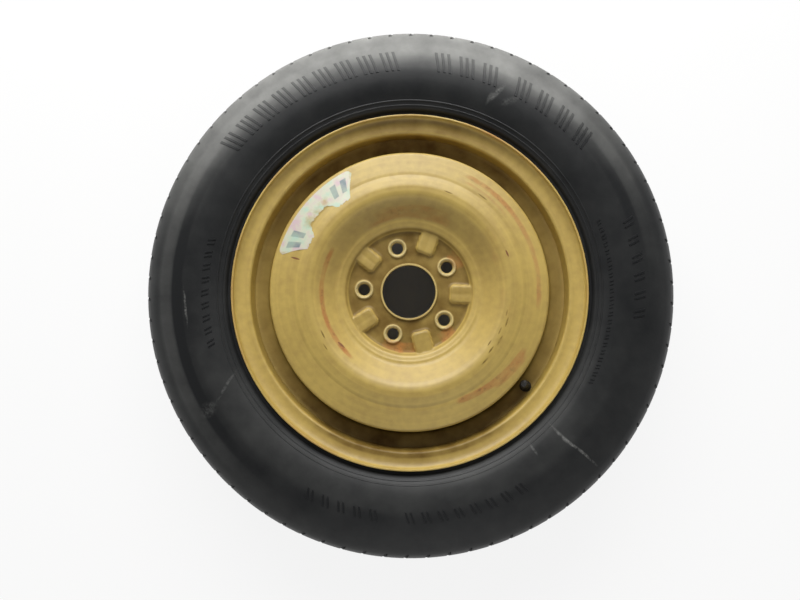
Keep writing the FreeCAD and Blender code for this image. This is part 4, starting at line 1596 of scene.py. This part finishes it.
class OBJECT_OT_spare_wheel_stage(bpy.types.Operator):
    """Sets the pale floor, the soft studio lights and the camera above the wheel"""

    bl_idname = "object.spare_wheel_stage"
    bl_label = "Stage"

    def execute(self, context):
        scene = context.scene
        colours = scene.spare_wheel_colours
        scene.view_settings.view_transform = "Standard"

        # Plain painted floor: white to the eye, with the wheel's soft shadow on it, and dark under the wheel
        ground = bpy.data.materials.new("Pale studio floor")
        ground.use_nodes = True
        tree = ground.node_tree
        tree.nodes.clear()
        seen = seen_directly(tree)
        place = add(tree, "ShaderNodeTexCoord").outputs["Object"]
        out = add(tree, "ShaderNodeVectorMath", {0: place}, operation="LENGTH")
        clear = add(
            tree,
            "ShaderNodeMapRange",
            {"Value": out, "From Min": 0.8 * TYRE_RADIUS, "From Max": 1.03 * TYRE_RADIUS, "To Max": 0.86},
            interpolation_type="SMOOTHSTEP",
        )
        share = add(tree, "ShaderNodeMath", {0: seen, 1: clear}, operation="MULTIPLY")
        lit = add(tree, "ShaderNodeBsdfDiffuse", {"Color": colours.floor})
        white = add(tree, "ShaderNodeEmission", {"Color": (1.0, 1.0, 1.0), "Strength": 1.0})
        both = add(tree, "ShaderNodeMixShader", {0: share, 1: lit, 2: white})
        add(tree, "ShaderNodeOutputMaterial", {"Surface": both})
        half = 20.0
        level = -TYRE_HALF_WIDTH
        corners = [(-half, -half, level), (half, -half, level), (half, half, level), (-half, half, level)]
        floor = new_piece("floor", corners, [[0, 1, 2, 3]])
        floor.data.materials.append(ground)

        # Studio air: white low down and dark overhead where it is seen or reflected, weak and even as light
        world = bpy.data.worlds.new("Studio air")
        scene.world = world
        world.use_nodes = True
        tree = world.node_tree
        tree.nodes.clear()
        seen = seen_directly(tree)
        heading = add(tree, "ShaderNodeSeparateXYZ", {0: add(tree, "ShaderNodeTexCoord").outputs["Object"]})
        wall = add(
            tree,
            "ShaderNodeMapRange",
            {
                "Value": heading.outputs["Z"],
                "From Min": 0.25,
                "From Max": 0.7,
                "To Min": 1.0,
                "To Max": 0.14,
            },
            interpolation_type="SMOOTHSTEP",
        )
        glow = add(tree, "ShaderNodeMix", {"Factor": seen, "A": 0.22, "B": wall})
        air = add(tree, "ShaderNodeBackground", {"Color": (1.0, 1.0, 1.0), "Strength": glow})
        add(tree, "ShaderNodeOutputWorld", {"Surface": air})

        # Both lights face the wheel's centre.
        for name, place, width, height, power in (
            ("window_light", (-0.12, 1.5, 1.1), 2.0, 0.9, 46.0),
            ("fill_light", (0.3, -1.6, 1.6), 1.6, 1.0, 5.0),
        ):
            lamp = bpy.data.lights.new(name, "AREA")
            lamp.shape = "RECTANGLE"
            lamp.size = width
            lamp.size_y = height
            lamp.energy = power
            light = bpy.data.objects.new(name, lamp)
            light.location = place
            light.rotation_euler = (-Vector(place)).to_track_quat("-Z", "Y").to_euler()
            scene.collection.objects.link(light)

        lens = bpy.data.cameras.new("camera")
        lens.lens = 29.21
        lens.sensor_width = 36.0
        lens.clip_start = 0.05
        lens.clip_end = 50.0
        camera = bpy.data.objects.new("camera", lens)
        eye = Vector((2.8, -47.4, 858.4)) * MM
        aim = Vector((-11.0, -11.5, 62.0)) * MM
        back = (eye - aim).normalized()
        right = Vector((0.0, 1.0, 0.0)).cross(back).normalized()
        turn = Matrix((right, back.cross(right), back)).transposed().to_4x4()
        camera.matrix_world = Matrix.Translation(eye) @ turn
        scene.collection.objects.link(camera)
        scene.camera = camera
        return {"FINISHED"}


PIECES = (
    OBJECT_OT_spare_wheel_tyre,
    OBJECT_OT_spare_wheel_rim,
    OBJECT_OT_spare_wheel_disc,
    OBJECT_OT_spare_wheel_welds,
    OBJECT_OT_spare_wheel_label,
    OBJECT_OT_spare_wheel_valve,
    OBJECT_OT_spare_wheel_stage,
)


class VIEW3D_PT_spare_wheel(bpy.types.Panel):
    """Lists the wheel's pieces, sizes and colours"""

    bl_label = "Spare wheel"
    bl_space_type = "VIEW_3D"
    bl_region_type = "UI"
    bl_category = "Spare wheel"

    def draw(self, context):
        for piece in PIECES:
            self.layout.operator(piece.bl_idname)
        for group in (context.scene.spare_wheel_sizes, context.scene.spare_wheel_colours):
            box = self.layout.box()
            for name in group.__annotations__:
                box.prop(group, name)


CLASSES = (SpareWheelSizes, SpareWheelColours, *PIECES, VIEW3D_PT_spare_wheel)


def register():
    for cls in CLASSES:
        bpy.utils.register_class(cls)
    bpy.types.Scene.spare_wheel_sizes = PointerProperty(type=SpareWheelSizes)
    bpy.types.Scene.spare_wheel_colours = PointerProperty(type=SpareWheelColours)


def unregister():
    del bpy.types.Scene.spare_wheel_colours
    del bpy.types.Scene.spare_wheel_sizes
    for cls in reversed(CLASSES):
        bpy.utils.unregister_class(cls)


def main():
    register()
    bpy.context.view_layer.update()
    bpy.ops.object.spare_wheel_tyre()
    bpy.ops.object.spare_wheel_rim()
    bpy.ops.object.spare_wheel_disc()
    bpy.ops.object.spare_wheel_welds()
    bpy.ops.object.spare_wheel_label()
    bpy.ops.object.spare_wheel_valve()
    bpy.ops.object.spare_wheel_stage()


if __name__ == "__main__":
    main()
